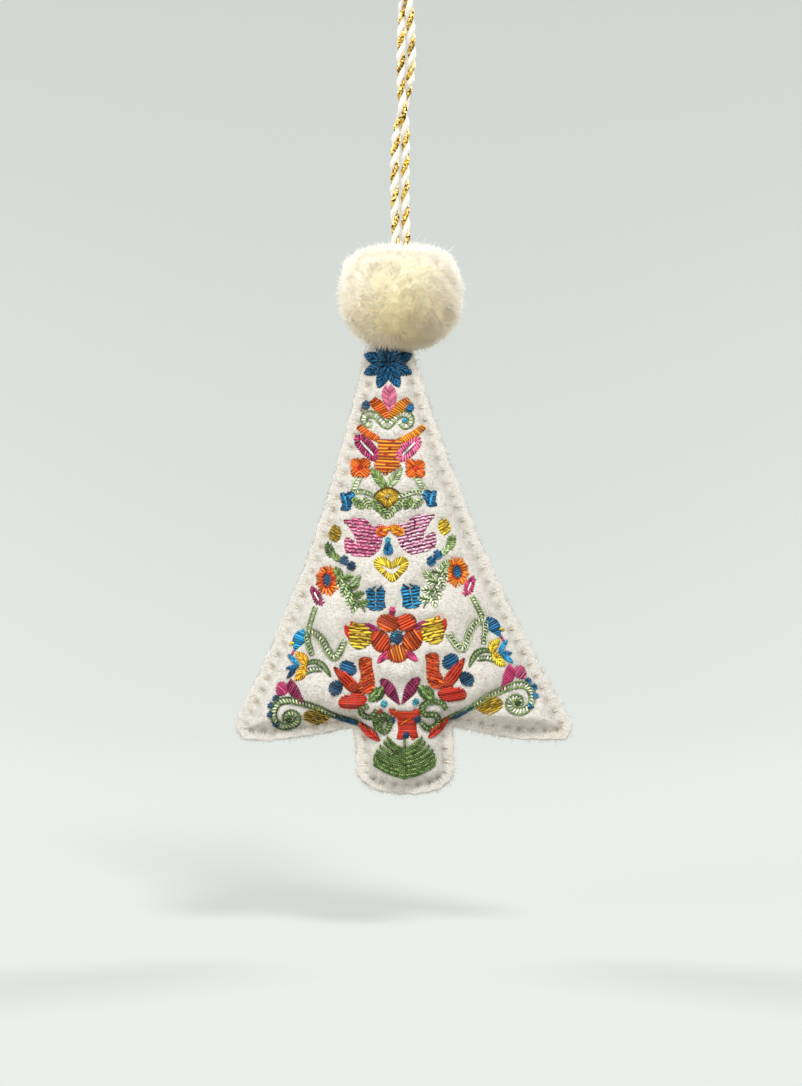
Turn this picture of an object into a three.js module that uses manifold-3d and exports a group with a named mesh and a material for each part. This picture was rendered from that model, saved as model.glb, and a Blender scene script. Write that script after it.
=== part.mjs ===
// A stuffed felt tree with folk embroidery, sewn under a yarn pompom that hangs on a loop of two-ply cord.
// Millimetres, +Z up, +X to the viewer's right, -Y to the front.
// The origin is the inside of the loop's crown, where it rests on a hook.
import * as THREE from 'three';
import { mergeVertices } from 'three/addons/utils/BufferGeometryUtils.js';
import Module from 'manifold-3d';

const mm = 1;

// Clearances
const seatGap = 0.3 * mm;             // between pieces that touch on the real object
const cutOverrun = 2 * mm;            // how far a cutter runs past the face it opens

// Hanging loop
const cordDiameter = 2.5 * mm;
const cordSides = 8;
const cordSteps = 64;
const loopHeight = 96 * mm;           // hook contact down to the pompom's crown
const legSpacing = 2.9 * mm;          // between the two legs' centre lines

// Pompom and its knot, tie and thread
const pompomWidth = 35 * mm;
const pompomHeight = 29.6 * mm;
const pompomSquarenessShare = 2.3;    // exponent of the outline: 2 is an ellipse
const knotRadius = 3.2 * mm;
const knotDepth = 5 * mm;             // knot's centre below the crown
const swingLimit = 41.5;              // degrees, both swings at their limits together
const tieThickness = 1.2 * mm;
const tieBore = 3.2 * mm;
const anchorThickness = 1 * mm;
const anchorBendShare = 0.55;         // how far down the sewing thread has crossed halfway to the tip
const tipSink = 7.5 * mm;             // how far the tree's tip stands up inside the pompom
const tipHeadroom = 3.5 * mm;
const pocketTopRadius = 6.8 * mm;
const pocketMouthRadius = 8.8 * mm;

// Tree outline, seen from the front
const treeHeight = 134.8 * mm;
const skirtHalfWidth = 47.5 * mm;
const tipHalfWidth = 5 * mm;
const tipRound = 4.6 * mm;
const skirtCornerRadius = 3.3 * mm;
const skirtCornerHeight = 19 * mm;
const crotchHeight = 19.4 * mm;
const crotchFillet = 1.2 * mm;
const trunkHalfWidth = 13.5 * mm;
const trunkCornerRadius = 3.2 * mm;
const trunkSag = 2.9 * mm;
const skirtHemDip = 4.2 * mm;
const hemDipShare = 0.48;             // where the hem's curve is pulled down, from trunk to skirt corner
const tipOffset = -3.7 * mm;          // the tip's place left of the pompom's axis
const leanShare = 0.0385;             // sideways run of the centre line for each unit of height
const sideUpperShares = [0.421, 0.556];   // handle of the side curve below the tip, of half width and height
const sideLowerShares = [0.632, 0.401];   // handle above the skirt corner

// Tree thickness
const feltThickness = 1.2 * mm;
const seamGap = 0.3 * mm;
const seamMargin = 2.8 * mm;           // flat felt outside the stuffing
const plumpness = 11 * mm;            // rise of the felt over the seam where it is fattest
const bulgeSharpnessShare = 0.65;
const stuffingGap = 0.35 * mm;
const skirtSpineShare = 0.2225;       // height on the tree's spine that the skirt's corners close on
const hemSpineShare = 0.2;
const trunkSpineShares = [0.15, 0.06];
const footSpineShare = 0.045;
const tipSpineDrop = 6.8 * mm;
const ringShares = [0, 0.12, 0.32, 0.6, 1];   // rings of points from the seam margin to the spine
const plumpShares = [                 // height share, share of the full plumpness
  [0, 0.4], [0.12, 0.5], [0.18, 0.72], [0.24, 0.95], [0.33, 1],
  [0.52, 0.85], [0.7, 0.62], [0.85, 0.42], [1, 0.26],
];

// Overcast stitching
const stitchThickness = 0.4 * mm;
const stitchSpacing = 3.7 * mm;
const stitchBite = 2.4 * mm;
const stitchRunGap = 1.2 * mm;

// Embroidery
const threadLayer = 0.6 * mm;
const threadGap = 0.35 * mm;
const strokeWidth = 1.1 * mm;
const hornStroke = 0.9 * mm;
const driftShare = 0.038;             // sideways wander of the pattern's middle, of the skirt's half width
const driftSpanShares = [0.22, 0.93];
const tiltShares = [0.068, -0.03];    // rise to the right of the lower and the upper pattern
const tiltSpanShares = [0.56, 0.74];

const pompomTop = -loopHeight;
const pompomMiddle = pompomTop - pompomHeight / 2;
const pompomBottom = pompomTop - pompomHeight;
const knotHeight = pompomTop - knotDepth;
const treeTop = pompomBottom + tipSink;
const treeBase = treeTop - treeHeight;

const wasm = await Module();
wasm.setup();

// A fabric finish in the piece's colour.
function fabric(color, roughness = 0.95, metalness = 0) {
  return new THREE.MeshStandardMaterial({ color, roughness, metalness });
}

function part(name, geometry, material) {
  geometry.computeVertexNormals();
  const mesh = new THREE.Mesh(geometry, material);
  mesh.name = name;
  return mesh;
}

function toManifold(geometry) {
  const bare = geometry.clone();
  bare.deleteAttribute('normal');
  bare.deleteAttribute('uv');
  const merged = mergeVertices(bare, 1e-4);
  return new wasm.Manifold(new wasm.Mesh({
    numProp: 3,
    vertProperties: Float32Array.from(merged.attributes.position.array),
    triVerts: Uint32Array.from(merged.index.array),
  }));
}

function fromManifold(solid) {
  const mesh = solid.getMesh();
  const geometry = new THREE.BufferGeometry();
  geometry.setAttribute('position', new THREE.BufferAttribute(mesh.vertProperties, 3));
  geometry.setIndex(new THREE.BufferAttribute(mesh.triVerts, 1));
  return geometry;
}

// A closed mesh from triangles given as corner points; triangles that have collapsed to a line are left out.
function closedMesh(triangles) {
  const corners = triangles.flat().flatMap((p) => [p.x, p.y, p.z]);
  const loose = new THREE.BufferGeometry();
  loose.setAttribute('position', new THREE.Float32BufferAttribute(corners, 3));
  const merged = mergeVertices(loose, 1e-4);
  const kept = [];
  for (let i = 0; i < merged.index.count; i += 3) {
    const [a, b, c] = [0, 1, 2].map((k) => merged.index.getX(i + k));
    if (a !== b && b !== c && c !== a) kept.push(a, b, c);
  }
  merged.setIndex(kept);
  return merged;
}

function mix(from, to, share) {
  return from + (to - from) * share;
}

// A smooth step between the rows of a table of [place, value].
function readTable(table, place) {
  let row = 0;
  while (row < table.length - 2 && place > table[row + 1][0]) row += 1;
  const [x0, y0] = table[row];
  const [x1, y1] = table[row + 1];
  return mix(y0, y1, THREE.MathUtils.smoothstep(place, x0, x1));
}

// A lathe about the Z axis from a profile of [radius, height].
function lathe(profile, turns) {
  const points = profile.map(([radius, height]) => new THREE.Vector2(radius, height));
  return new THREE.LatheGeometry(points, turns).rotateX(Math.PI / 2);
}

function tube(route, diameter, sides, steps) {
  const section = new THREE.Shape();
  for (let side = 0; side < sides; side += 1) {
    const angle = side / sides * 2 * Math.PI;
    const at = [Math.cos(angle) * diameter / 2, Math.sin(angle) * diameter / 2];
    if (side) section.lineTo(...at);
    else section.moveTo(...at);
  }
  section.closePath();
  const points = route.map((place) => new THREE.Vector3(...place));
  const extrudePath = new THREE.CatmullRomCurve3(points, false, 'centripetal');
  return new THREE.ExtrudeGeometry(section, { steps, extrudePath, bevelEnabled: false });
}

// Hanging loop: out of the crown, up one leg, over the hook and down the other leg.
const cordRoute = [
  [-1.45, 0, -97.5], [-1.5, 0, -94], [-1.7, 0, -88], [-1.75, 0.05, -82], [-1.8, 0.1, -76],
  [-1.5, 0.6, -69], [-0.9, 1.2, -63.5], [0.55, 1.45, -58.5], [1.6, 1.25, -54], [2.6, 0.6, -49],
  [2.95, 0, -42.5], [2.8, -0.6, -36], [2.35, -1.15, -30.5], [1.6, -1.4, -26], [0.1, -1.35, -21.5],
  [-2.6, -0.9, -17], [-5.4, -0.4, -12.5], [-7.2, 0, -7.2], [-6.2, 0, -2.2], [-3.4, 0, 0.45],
  [0, 0, 1.25], [3.4, 0, 0.45], [6.2, 0, -2.2], [7.2, 0.1, -7.2], [6, 0.5, -12.5], [3.8, 1, -17],
  [1.5, 1.4, -21.5], [0.9, 1.4, -26], [0.45, 1.15, -30.5], [0.2, 0.6, -36], [0.05, 0, -42.5],
  [0, -0.6, -49], [0.2, -1.25, -54], [0.55, -1.45, -58.5], [1.2, -1.2, -63.5], [1.3, -0.6, -69],
  [1.2, -0.1, -76], [1.15, -0.05, -82], [1.4, 0, -94], [1.45, 0, -97.5],
];

function hangingLoop() {
  return part('hanging_loop', tube(cordRoute, cordDiameter, cordSides, cordSteps), fabric('#d9c89a', 0.8));
}

function cordKnot() {
  const geometry = lathe(arcProfile(knotRadius, knotRadius, 2, 8), 12);
  geometry.translate(0, 0, knotHeight);
  return part('cord_knot', geometry, fabric('#d9c89a', 0.8));
}

// Half outline of a round form, from its bottom pole to its top pole.
function arcProfile(radius, halfHeight, squareness, steps = 12) {
  return Array.from({ length: steps + 1 }, (_, i) => {
    const angle = mix(-Math.PI / 2, Math.PI / 2, i / steps);
    const across = Math.max(Math.cos(angle), 0) ** (2 / squareness);
    const up = Math.sign(Math.sin(angle)) * Math.abs(Math.sin(angle)) ** (2 / squareness);
    return [i % steps ? across * radius : 0, up * halfHeight];
  });
}

// The pompom, hollowed for its knot, for the cord's swing, for the tie and for the tree's tip.
function pompomYarn() {
  const ball = lathe(arcProfile(pompomWidth / 2, pompomHeight / 2, pompomSquarenessShare, 14), 22);
  ball.translate(0, 0, pompomMiddle);
  const knotPocket = lathe(arcProfile(knotRadius + seatGap, knotRadius + seatGap, 2, 8), 12);
  knotPocket.translate(0, 0, knotHeight);
  const swing = THREE.MathUtils.degToRad(swingLimit);
  const mouthFoot = (legSpacing + cordDiameter) / 2 / Math.cos(swing) + seatGap;
  const mouthHeight = knotDepth + cutOverrun;
  const mouth = lathe([
    [0, 0], [mouthFoot, 0], [mouthFoot + mouthHeight * Math.tan(swing), mouthHeight], [0, mouthHeight],
  ], 20);
  mouth.translate(0, 0, knotHeight);
  const channelRadius = tieBore / 2 + tieThickness + seatGap;
  const channel = lathe([
    [0, pocketTop() - cutOverrun / 2], [channelRadius, pocketTop() - cutOverrun / 2],
    [channelRadius, knotHeight], [0, knotHeight],
  ], 16);
  const pocketFoot = pompomBottom - cutOverrun;
  const pocket = lathe([
    [0, pocketFoot], [pocketMouthRadius, pocketFoot], [pocketTopRadius, pocketTop()], [0, pocketTop()],
  ], 20);
  pocket.translate(tipOffset, 0, 0);
  let solid = toManifold(ball);
  for (const cutter of [knotPocket, mouth, channel, pocket]) solid = solid.subtract(toManifold(cutter));
  return part('pompom_yarn', fromManifold(solid), fabric('#f3edd0'));
}

function pocketTop() {
  return treeTop + tipHeadroom;
}

// The ring of thread that gathers the strands, at the pompom's middle.
function pompomTie() {
  const geometry = new THREE.TorusGeometry((tieBore + tieThickness) / 2, tieThickness / 2, 6, 14);
  geometry.translate(0, 0, pompomMiddle);
  return part('pompom_tie', geometry, fabric('#e8e0c4'));
}

// From the tie's bore down to the tree's tip.
function anchorThread() {
  const knotFlat = anchorThickness / 2;
  const route = [
    [0, 0, pompomMiddle + tieThickness], [0, 0, pompomMiddle - tieThickness],
    [tipOffset / 2, 0, mix(pompomMiddle, treeTop, anchorBendShare)],
    [tipOffset, 0, treeTop + seatGap + knotFlat], [tipOffset, 0, treeTop + seatGap],
  ];
  return part('anchor_thread', tube(route, anchorThickness, 6, 10), fabric('#f2ead6'));
}

// The tree's outline from the tip's top, down the right side, to the middle of the trunk's foot.
// Each point is [across, height, height on the spine that it closes on].
function rightOutline() {
  const points = [];
  const spineTop = treeHeight - tipSpineDrop;
  const sideTop = treeHeight - tipRound;
  for (const angle of [0, Math.PI / 6, Math.PI / 3]) {
    points.push([tipHalfWidth * Math.sin(angle), sideTop + tipRound * Math.cos(angle), spineTop]);
  }
  const cornerMiddle = [skirtHalfWidth - skirtCornerRadius, skirtCornerHeight];
  const cornerAt = (angle) => [
    cornerMiddle[0] + skirtCornerRadius * Math.cos(angle),
    cornerMiddle[1] + skirtCornerRadius * Math.sin(angle),
  ];
  const side = new THREE.CubicBezierCurve(
    new THREE.Vector2(tipHalfWidth, sideTop),
    new THREE.Vector2(sideUpperShares[0] * skirtHalfWidth, sideUpperShares[1] * treeHeight),
    new THREE.Vector2(sideLowerShares[0] * skirtHalfWidth, sideLowerShares[1] * treeHeight),
    new THREE.Vector2(...cornerAt(Math.PI / 7)),
  );
  const sideSteps = 13;
  for (const [i, point] of side.getPoints(sideSteps).entries()) {
    points.push([point.x, point.y, mix(spineTop, skirtSpineShare * treeHeight, i / sideSteps)]);
  }
  for (const angle of [-Math.PI / 12, -Math.PI / 3.6]) {
    points.push([...cornerAt(angle), skirtSpineShare * treeHeight]);
  }
  const hem = new THREE.QuadraticBezierCurve(
    new THREE.Vector2(...cornerAt(-Math.PI / 2.2)),
    new THREE.Vector2(mix(trunkHalfWidth, skirtHalfWidth, hemDipShare), crotchHeight - skirtHemDip),
    new THREE.Vector2(trunkHalfWidth + crotchFillet, crotchHeight),
  );
  const hemSteps = 5;
  for (const [i, point] of hem.getPoints(hemSteps).entries()) {
    const closing = (i / hemSteps) ** 4;
    points.push([point.x, point.y, mix(skirtSpineShare, hemSpineShare, closing) * treeHeight]);
  }
  const trunkTop = crotchHeight - crotchFillet;
  const footHeight = trunkSag + trunkCornerRadius;
  for (const share of [0, 0.33, 0.67, 1]) {
    const spine = mix(...trunkSpineShares, share) * treeHeight;
    points.push([trunkHalfWidth, mix(trunkTop, footHeight, share), spine]);
  }
  const flat = trunkHalfWidth - trunkCornerRadius;
  for (const angle of [Math.PI / 6, Math.PI / 3]) {
    const across = flat + trunkCornerRadius * Math.cos(angle);
    points.push([across, footHeight - trunkCornerRadius * Math.sin(angle), footSpineShare * treeHeight]);
  }
  for (const share of [1, 0.75, 0.5, 0.25, 0]) {
    const across = share * flat;
    points.push([across, trunkSag * (across / trunkHalfWidth) ** 2, footSpineShare * treeHeight]);
  }
  return points;
}

// The whole outline, clockwise from the tip as seen from the front.
function treeOutline() {
  const right = rightOutline();
  const left = right.slice(1, -1).reverse().map(([across, height, spine]) => [-across, height, spine]);
  return [...right, ...left];
}

// The centre line leans: how far it lies from the pompom's axis at a height.
function centreLine(height) {
  return tipOffset + leanShare * (treeHeight - height);
}

// Rise of the felt over its seam: nothing at the margin, rounding over to the full height at the spine.
function rise(spine, ring) {
  const full = plumpness * readTable(plumpShares, spine / treeHeight);
  return full * (1 - (1 - ring) ** 2) ** bulgeSharpnessShare;
}

// The mitred corner of a line moved out by a distance, or inwards where the distance is negative.
function mitre(before, here, after, distance) {
  const first = outward(before, here);
  const sum = first.clone().add(outward(here, after)).normalize();
  return here.clone().addScaledVector(sum, distance / sum.dot(first));
}

// Rings of points over the tree: the outline, the seam margin, then the rings up to the spine.
function treeRings(fromRing = -1) {
  const outline = treeOutline();
  const edge = outline.map(([across, height]) => new THREE.Vector2(across, height));
  const around = edge.length;
  const margin = edge.map((here, i) => {
    return mitre(edge[(i + around - 1) % around], here, edge[(i + 1) % around], -seamMargin);
  });
  const ringAt = (ring) => outline.map(([, , spine], i) => {
    if (ring < 0) return { across: edge[i].x, up: edge[i].y, rise: 0 };
    const place = margin[i].clone().lerp(new THREE.Vector2(0, spine), ringShares[ring]);
    return { across: place.x, up: place.y, rise: rise(spine, ringShares[ring]) };
  });
  return Array.from({ length: ringShares.length - fromRing }, (_, i) => ringAt(i + fromRing));
}

// A closed sheet over the tree between two depths, each a function of the rise.
function treeSheet(frontDepth, backDepth, fromRing = -1) {
  const rings = treeRings(fromRing);
  const at = (point, depth) => new THREE.Vector3(centreLine(point.up) + point.across, depth(point.rise), point.up);
  const triangles = [];
  for (let ring = 0; ring < rings.length - 1; ring += 1) {
    const [outer, inner] = [rings[ring], rings[ring + 1]];
    for (let i = 0; i < outer.length; i += 1) {
      const j = (i + 1) % outer.length;
      const front = [outer[i], outer[j], inner[j], inner[i]].map((p) => at(p, frontDepth));
      const back = [outer[i], outer[j], inner[j], inner[i]].map((p) => at(p, backDepth));
      triangles.push([front[0], front[2], front[1]], [front[0], front[3], front[2]]);
      triangles.push([back[0], back[1], back[2]], [back[0], back[2], back[3]]);
    }
  }
  const rim = rings[0];
  for (let i = 0; i < rim.length; i += 1) {
    const j = (i + 1) % rim.length;
    const [a, b] = [at(rim[i], frontDepth), at(rim[j], frontDepth)];
    const [c, d] = [at(rim[j], backDepth), at(rim[i], backDepth)];
    triangles.push([a, b, c], [a, c, d]);
  }
  return closedMesh(triangles);
}

// Depths of the felt's faces. The front panel lies towards -Y.
const innerFace = (lift) => seamGap / 2 + lift;
const outerFace = (lift) => innerFace(lift) + feltThickness;

function frontFelt() {
  const sheet = treeSheet((lift) => -outerFace(lift), (lift) => -innerFace(lift));
  return part('front_felt', sheet, fabric('#e9e4dc'));
}

function backFelt() {
  const sheet = treeSheet((lift) => innerFace(lift), (lift) => outerFace(lift));
  return part('back_felt', sheet, fabric('#e6e0d8'));
}

function fibreStuffing() {
  const half = (lift) => innerFace(lift) - stuffingGap;
  return part('fibre_stuffing', treeSheet((lift) => -half(lift), half, 1), fabric('#f7f5f0'));
}

// The outline as a closed line, with the length run at each of its points.
function traceOutline() {
  const points = treeOutline().map(([across, height]) => new THREE.Vector2(centreLine(height) + across, height));
  points.push(points[0].clone());
  const lengths = [0];
  for (let i = 1; i < points.length; i += 1) lengths.push(lengths[i - 1] + points[i].distanceTo(points[i - 1]));
  return { points, lengths, total: lengths.at(-1) };
}

// The place at a length along the outline, with the direction out of the felt there.
function placeAt({ points, lengths }, length) {
  let i = 1;
  while (i < lengths.length - 1 && lengths[i] < length) i += 1;
  const place = points[i - 1].clone().lerp(points[i], (length - lengths[i - 1]) / (lengths[i] - lengths[i - 1]));
  return { place, out: outward(points[i - 1], points[i]) };
}

function outward(from, to) {
  const along = to.clone().sub(from).normalize();
  return new THREE.Vector2(-along.y, along.x);
}

// The stretch of the outline between two lengths, moved out by a distance, with mitred corners.
function offsetLine(trace, start, end, distance) {
  const ends = [start, end].map((length) => {
    const { place, out } = placeAt(trace, length);
    return place.addScaledVector(out, distance);
  });
  const between = trace.points.flatMap((point, i) => {
    if (trace.lengths[i] <= start || trace.lengths[i] >= end) return [];
    return [mitre(trace.points[i - 1], point, trace.points[i + 1], distance)];
  });
  return [ends[0], ...between, ends[1]];
}

// An outline in the X-Z plane carried along Y between two depths.
function prism(outline, fromDepth, toDepth) {
  const shape = new THREE.Shape(outline.map((p) => new THREE.Vector2(p.x, p.y)));
  const geometry = new THREE.ExtrudeGeometry(shape, { depth: toDepth - fromDepth, bevelEnabled: false });
  return geometry.rotateX(Math.PI / 2).translate(0, toDepth, 0);
}

// The overcast thread of one run: a strip over the edge, with a leg on each face at every stitch.
function seamRun(name, start, end) {
  const trace = traceOutline();
  const near = outerFace(0) + seatGap;
  const far = near + stitchThickness;
  const strip = [
    ...offsetLine(trace, start, end, seatGap + stitchThickness),
    ...offsetLine(trace, start, end, seatGap).reverse(),
  ];
  const solids = [toManifold(prism(strip, -(near + far) / 2, (near + far) / 2))];
  const count = Math.max(1, Math.round((end - start) / stitchSpacing));
  for (let i = 0; i < count; i += 1) {
    const { place, out } = placeAt(trace, mix(start, end, (i + 0.5) / count));
    const along = new THREE.Vector2(out.y, -out.x).multiplyScalar(stitchThickness / 2);
    const root = place.clone().addScaledVector(out, seatGap + stitchThickness / 2);
    const tip = place.clone().addScaledVector(out, -stitchBite);
    const leg = [root.clone().sub(along), root.clone().add(along), tip.clone().add(along), tip.clone().sub(along)];
    solids.push(toManifold(prism(leg, -far, -near)), toManifold(prism(leg, near, far)));
  }
  return part(name, fromManifold(wasm.Manifold.union(solids)), fabric('#f6f2ea'));
}

function seamStitching() {
  const trace = traceOutline();
  const outline = treeOutline();
  const lengthAt = (test) => trace.lengths[outline.findIndex(test)];
  const pompomFoot = treeHeight - tipSink;
  const sideStart = lengthAt(([across, height]) => across > 0 && height < pompomFoot);
  const cornerEnd = lengthAt(([across, height]) => across > 0 && height < skirtCornerHeight);
  const trunkStart = lengthAt(([across, height]) => across <= trunkHalfWidth && height < crotchHeight);
  const mirrored = (length) => trace.total - length;
  return [
    seamRun('seam_right_side', sideStart, cornerEnd),
    seamRun('seam_right_hem', cornerEnd + stitchRunGap, trunkStart - stitchRunGap),
    seamRun('seam_trunk', trunkStart + stitchRunGap, mirrored(trunkStart + stitchRunGap)),
    seamRun('seam_left_hem', mirrored(trunkStart - stitchRunGap), mirrored(cornerEnd + stitchRunGap)),
    seamRun('seam_left_side', mirrored(cornerEnd), mirrored(sideStart)),
  ];
}

// Outlines of the motifs. Each gives points about the motif's middle for a half width and a half height.
const drawn = (shares) => (w, h) => shares.map(([x, z]) => [x * w, z * h]);
const round = (count, radius) => (w, h) => Array.from({ length: count }, (_, i) => {
  const angle = (i / count) * 2 * Math.PI + Math.PI / 2;
  return [Math.cos(angle) * radius(angle, i) * w, Math.sin(angle) * radius(angle, i) * h];
});
const oval = round(10, () => 1);
const star = (petals, waistShare) => round(petals * 2, (_, i) => (i % 2 ? waistShare : 1));
const flower = (petals) => round(petals * 4, (_, i) => [1, 0.86, 0.6, 0.86][i % 4]);
const square = drawn([[-0.9, -0.8], [0.8, -0.9], [0.9, 0.8], [-0.8, 0.9]]);
const diamond = drawn([[0, -1], [1, 0], [0, 1], [-1, 0]]);
const eye = drawn([[-1, 0], [-0.5, -0.75], [0, -1], [0.5, -0.75], [1, 0], [0.5, 0.75], [0, 1], [-0.5, 0.75]]);
const petal = drawn([[0, -1], [0.7, -0.5], [1, 0.1], [0.6, 0.75], [0, 1], [-0.6, 0.75], [-1, 0.1], [-0.7, -0.5]]);
const heart = drawn([
  [0, -1], [0.5, -0.45], [0.9, 0.1], [1, 0.5], [0.8, 0.9], [0.45, 1], [0, 0.55],
  [-0.45, 1], [-0.8, 0.9], [-1, 0.5], [-0.9, 0.1], [-0.5, -0.45],
]);
const tulip = drawn([
  [-0.25, -1], [0.25, -1], [0.75, -0.3], [1, 0.9], [0.5, 0.35], [0, 1], [-0.5, 0.35], [-1, 0.9], [-0.75, -0.3],
]);
const bell = drawn([
  [0, -1], [0.35, -0.5], [0.55, 0.1], [1, 0.75], [0.6, 1], [-0.6, 1], [-1, 0.75], [-0.55, 0.1], [-0.35, -0.5],
]);
const cap = drawn([
  [-0.3, -1], [0.3, -1], [0.65, -0.4], [0.75, 0.2], [1, 0.75], [0.6, 0.7], [0.35, 1],
  [0, 0.8], [-0.35, 1], [-0.6, 0.7], [-1, 0.75], [-0.75, 0.2], [-0.65, -0.4],
]);
const dove = drawn([
  [-1, 0.5], [-0.8, 0.85], [-0.5, 0.8], [-0.3, 0.35], [0.1, 0.2], [0.5, 0.7], [1, 1],
  [0.8, 0.4], [0.9, -0.05], [0.45, -0.4], [0.15, -0.9], [-0.2, -1], [-0.5, -0.55], [-0.8, -0.05],
]);
const openV = drawn([[0, -1], [0.55, -0.35], [1, 0.6], [0.85, 1], [0.35, 0.3], [0, -0.3],
  [-0.35, 0.3], [-0.85, 1], [-1, 0.6], [-0.55, -0.35]]);

// A stroke of thread along a line of points.
const stroke = (shares, width) => (w, h) => {
  const line = shares.map(([x, z]) => new THREE.Vector2(x * w, z * h));
  const sideOf = (i, sign) => {
    const before = line[Math.max(i - 1, 0)];
    const after = line[Math.min(i + 1, line.length - 1)];
    const along = after.clone().sub(before).normalize();
    return [line[i].x - along.y * sign * width / 2, line[i].y + along.x * sign * width / 2];
  };
  return [...line.map((_, i) => sideOf(i, 1)), ...line.map((_, i) => sideOf(i, -1)).reverse()];
};
const mirroredLine = (shares) => [...shares.slice(1).reverse().map(([x, z]) => [-x, z]), ...shares];
const horns = stroke(mirroredLine(
  [[0, -0.45], [0.3, 0.35], [0.62, 0.8], [0.93, 0.35], [0.85, -0.55], [0.58, -0.55]],
), hornStroke);
const garland = stroke(mirroredLine([[0, -0.8], [0.5, 0], [1, 0.8]]), strokeWidth);
const vine = stroke([[-1, -0.4], [-0.65, 0.75], [-0.2, -0.75], [0.3, 0.7], [0.6, -0.4], [0.95, 0.6]], strokeWidth);
const scroll = stroke([
  [-4.2, -0.5], [-3.3, 0], [-2.3, 0.5], [-1.2, 0.9], [-0.1, 1], [0.55, 0.85], [0.9, 0.25], [0.82, -0.45],
  [0.38, -0.9], [-0.25, -0.93], [-0.75, -0.6], [-0.8, -0.05], [-0.4, 0.2], [0, -0.05],
], strokeWidth);

// Rows of running stitches that rise to each side of a vein.
const frond = (rows, taperShare, riseShare) => (w, h) => {
  const half = strokeWidth / 2;
  const gap = (2 * h - w * riseShare) / rows;
  const side = Array.from({ length: rows }, (_, row) => {
    const z = -h + half + gap * row;
    const reach = w * mix(1, taperShare, Math.abs(row - rows / 3) / rows);
    const tip = z + reach * riseShare;
    return [[half, z - half], [reach, tip - half], [reach, tip + half], [half, z + half]];
  }).flat();
  return [...side, [half, h], [-half, h], ...side.reverse().map(([x, z]) => [-x, z])];
};

// The pattern's motifs: name, outline, colour, then shares of the skirt's half width and the tree's height
// for the middle across, the middle up, the half width and the half height.
const singleMotifShares = [
  ['crown_star', star(8, 0.6), '#1c5a86', 0, 0.916, 0.138, 0.041],
  ['crown_bud', oval, '#e8759b', 0, 0.852, 0.042, 0.014],
  ['crown_leaves', openV, '#f08a24', 0, 0.829, 0.129, 0.021],
  ['ram_horns', horns, '#a3bd82', 0, 0.797, 0.145, 0.017],
  ['bell_flower', bell, '#f08a24', 0, 0.732, 0.082, 0.038],
  ['collar_leaves', openV, '#7fa35e', 0, 0.681, 0.086, 0.018],
  ['gold_eye', eye, '#c9a227', 0, 0.642, 0.072, 0.014],
  ['leaf_garland', garland, '#7fa35e', 0, 0.62, 0.19, 0.018],
  ['gold_heart', heart, '#c9a227', 0, 0.489, 0.098, 0.026],
  ['great_rosette', flower(5), '#e2581e', 0, 0.346, 0.136, 0.043],
  ['leaf_pair', openV, '#a83a66', 0, 0.234, 0.11, 0.02],
  ['skirt_bell', cap, '#c8381a', 0, 0.164, 0.092, 0.029],
  ['trunk_fern', frond(6, 0.45, 0.42), '#7fa35e', 0, 0.086, 0.17, 0.038],
];
const pairedMotifShares = [
  ['open_petal', petal, '#c2306b', 0.152, 0.747, 0.052, 0.024],
  ['small_flower', square, '#f26b21', 0.178, 0.699, 0.05, 0.017],
  ['blue_tulip', tulip, '#1f7fb5', 0.258, 0.631, 0.05, 0.019],
  ['dove', dove, '#d56a9b', 0.152, 0.557, 0.116, 0.04],
  ['gold_bud', petal, '#c9a227', 0.335, 0.572, 0.034, 0.016],
  ['side_daisy', flower(6), '#f26b21', 0.397, 0.476, 0.056, 0.03],
  ['leaf_spray', frond(4, 0.6, 0.7), '#8fb072', 0.262, 0.453, 0.068, 0.038],
  ['pink_diamond', diamond, '#d14c86', 0.482, 0.439, 0.039, 0.018],
  ['blue_square', square, '#1f7fb5', 0.086, 0.431, 0.047, 0.018],
  ['yellow_tulip', tulip, '#e9b62c', 0.232, 0.357, 0.072, 0.025],
  ['skirt_vine', vine, '#7fa35e', 0.417, 0.341, 0.098, 0.024],
  ['outer_flower', flower(4), '#1f7fb5', 0.579, 0.35, 0.042, 0.019],
  ['yellow_bud', petal, '#e9b62c', 0.601, 0.294, 0.034, 0.02],
  ['red_tulip', tulip, '#c8381a', 0.275, 0.27, 0.105, 0.034],
  ['rim_flower', flower(5), '#d14c86', 0.662, 0.245, 0.066, 0.02],
  ['skirt_scroll', scroll, '#8fb072', 0.69, 0.193, 0.082, 0.026],
];

// Where a point of the flat pattern lies on the felt, seen from the front.
function onTree(across, height) {
  const span = (height / treeHeight - driftSpanShares[0]) / (driftSpanShares[1] - driftSpanShares[0]);
  const drift = driftShare * skirtHalfWidth * 4 * THREE.MathUtils.clamp(span * (1 - span), 0, 1);
  const turn = THREE.MathUtils.smoothstep(height / treeHeight, ...tiltSpanShares);
  const up = height + across * mix(...tiltShares, turn);
  return new THREE.Vector2(centreLine(up) + across - drift, up);
}

// A motif: the layer of thread over the front felt, cut to the motif's outline.
function motif([name, outline, color, acrossShare, upShare, widthShare, heightShare], side, layer) {
  const middle = [side * acrossShare * skirtHalfWidth, upShare * treeHeight];
  const local = outline(widthShare * skirtHalfWidth, heightShare * treeHeight);
  const mirror = side || 1;
  const placed = local.map(([x, z]) => onTree(middle[0] + mirror * x, middle[1] + z));
  const cutter = toManifold(prism(placed, -plumpness - outerFace(0) - cutOverrun, 0));
  const suffix = { '-1': '_left', 1: '_right', 0: '' }[side];
  return part(`${name}${suffix}`, fromManifold(layer.intersect(cutter)), fabric(color, 0.6));
}

function embroidery() {
  const back = (lift) => -outerFace(lift) - threadGap;
  const layer = toManifold(treeSheet((lift) => back(lift) - threadLayer, back, 0));
  return [
    ...singleMotifShares.map((row) => motif(row, 0, layer)),
    ...pairedMotifShares.flatMap((row) => [motif(row, -1, layer), motif(row, 1, layer)]),
  ];
}

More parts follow.
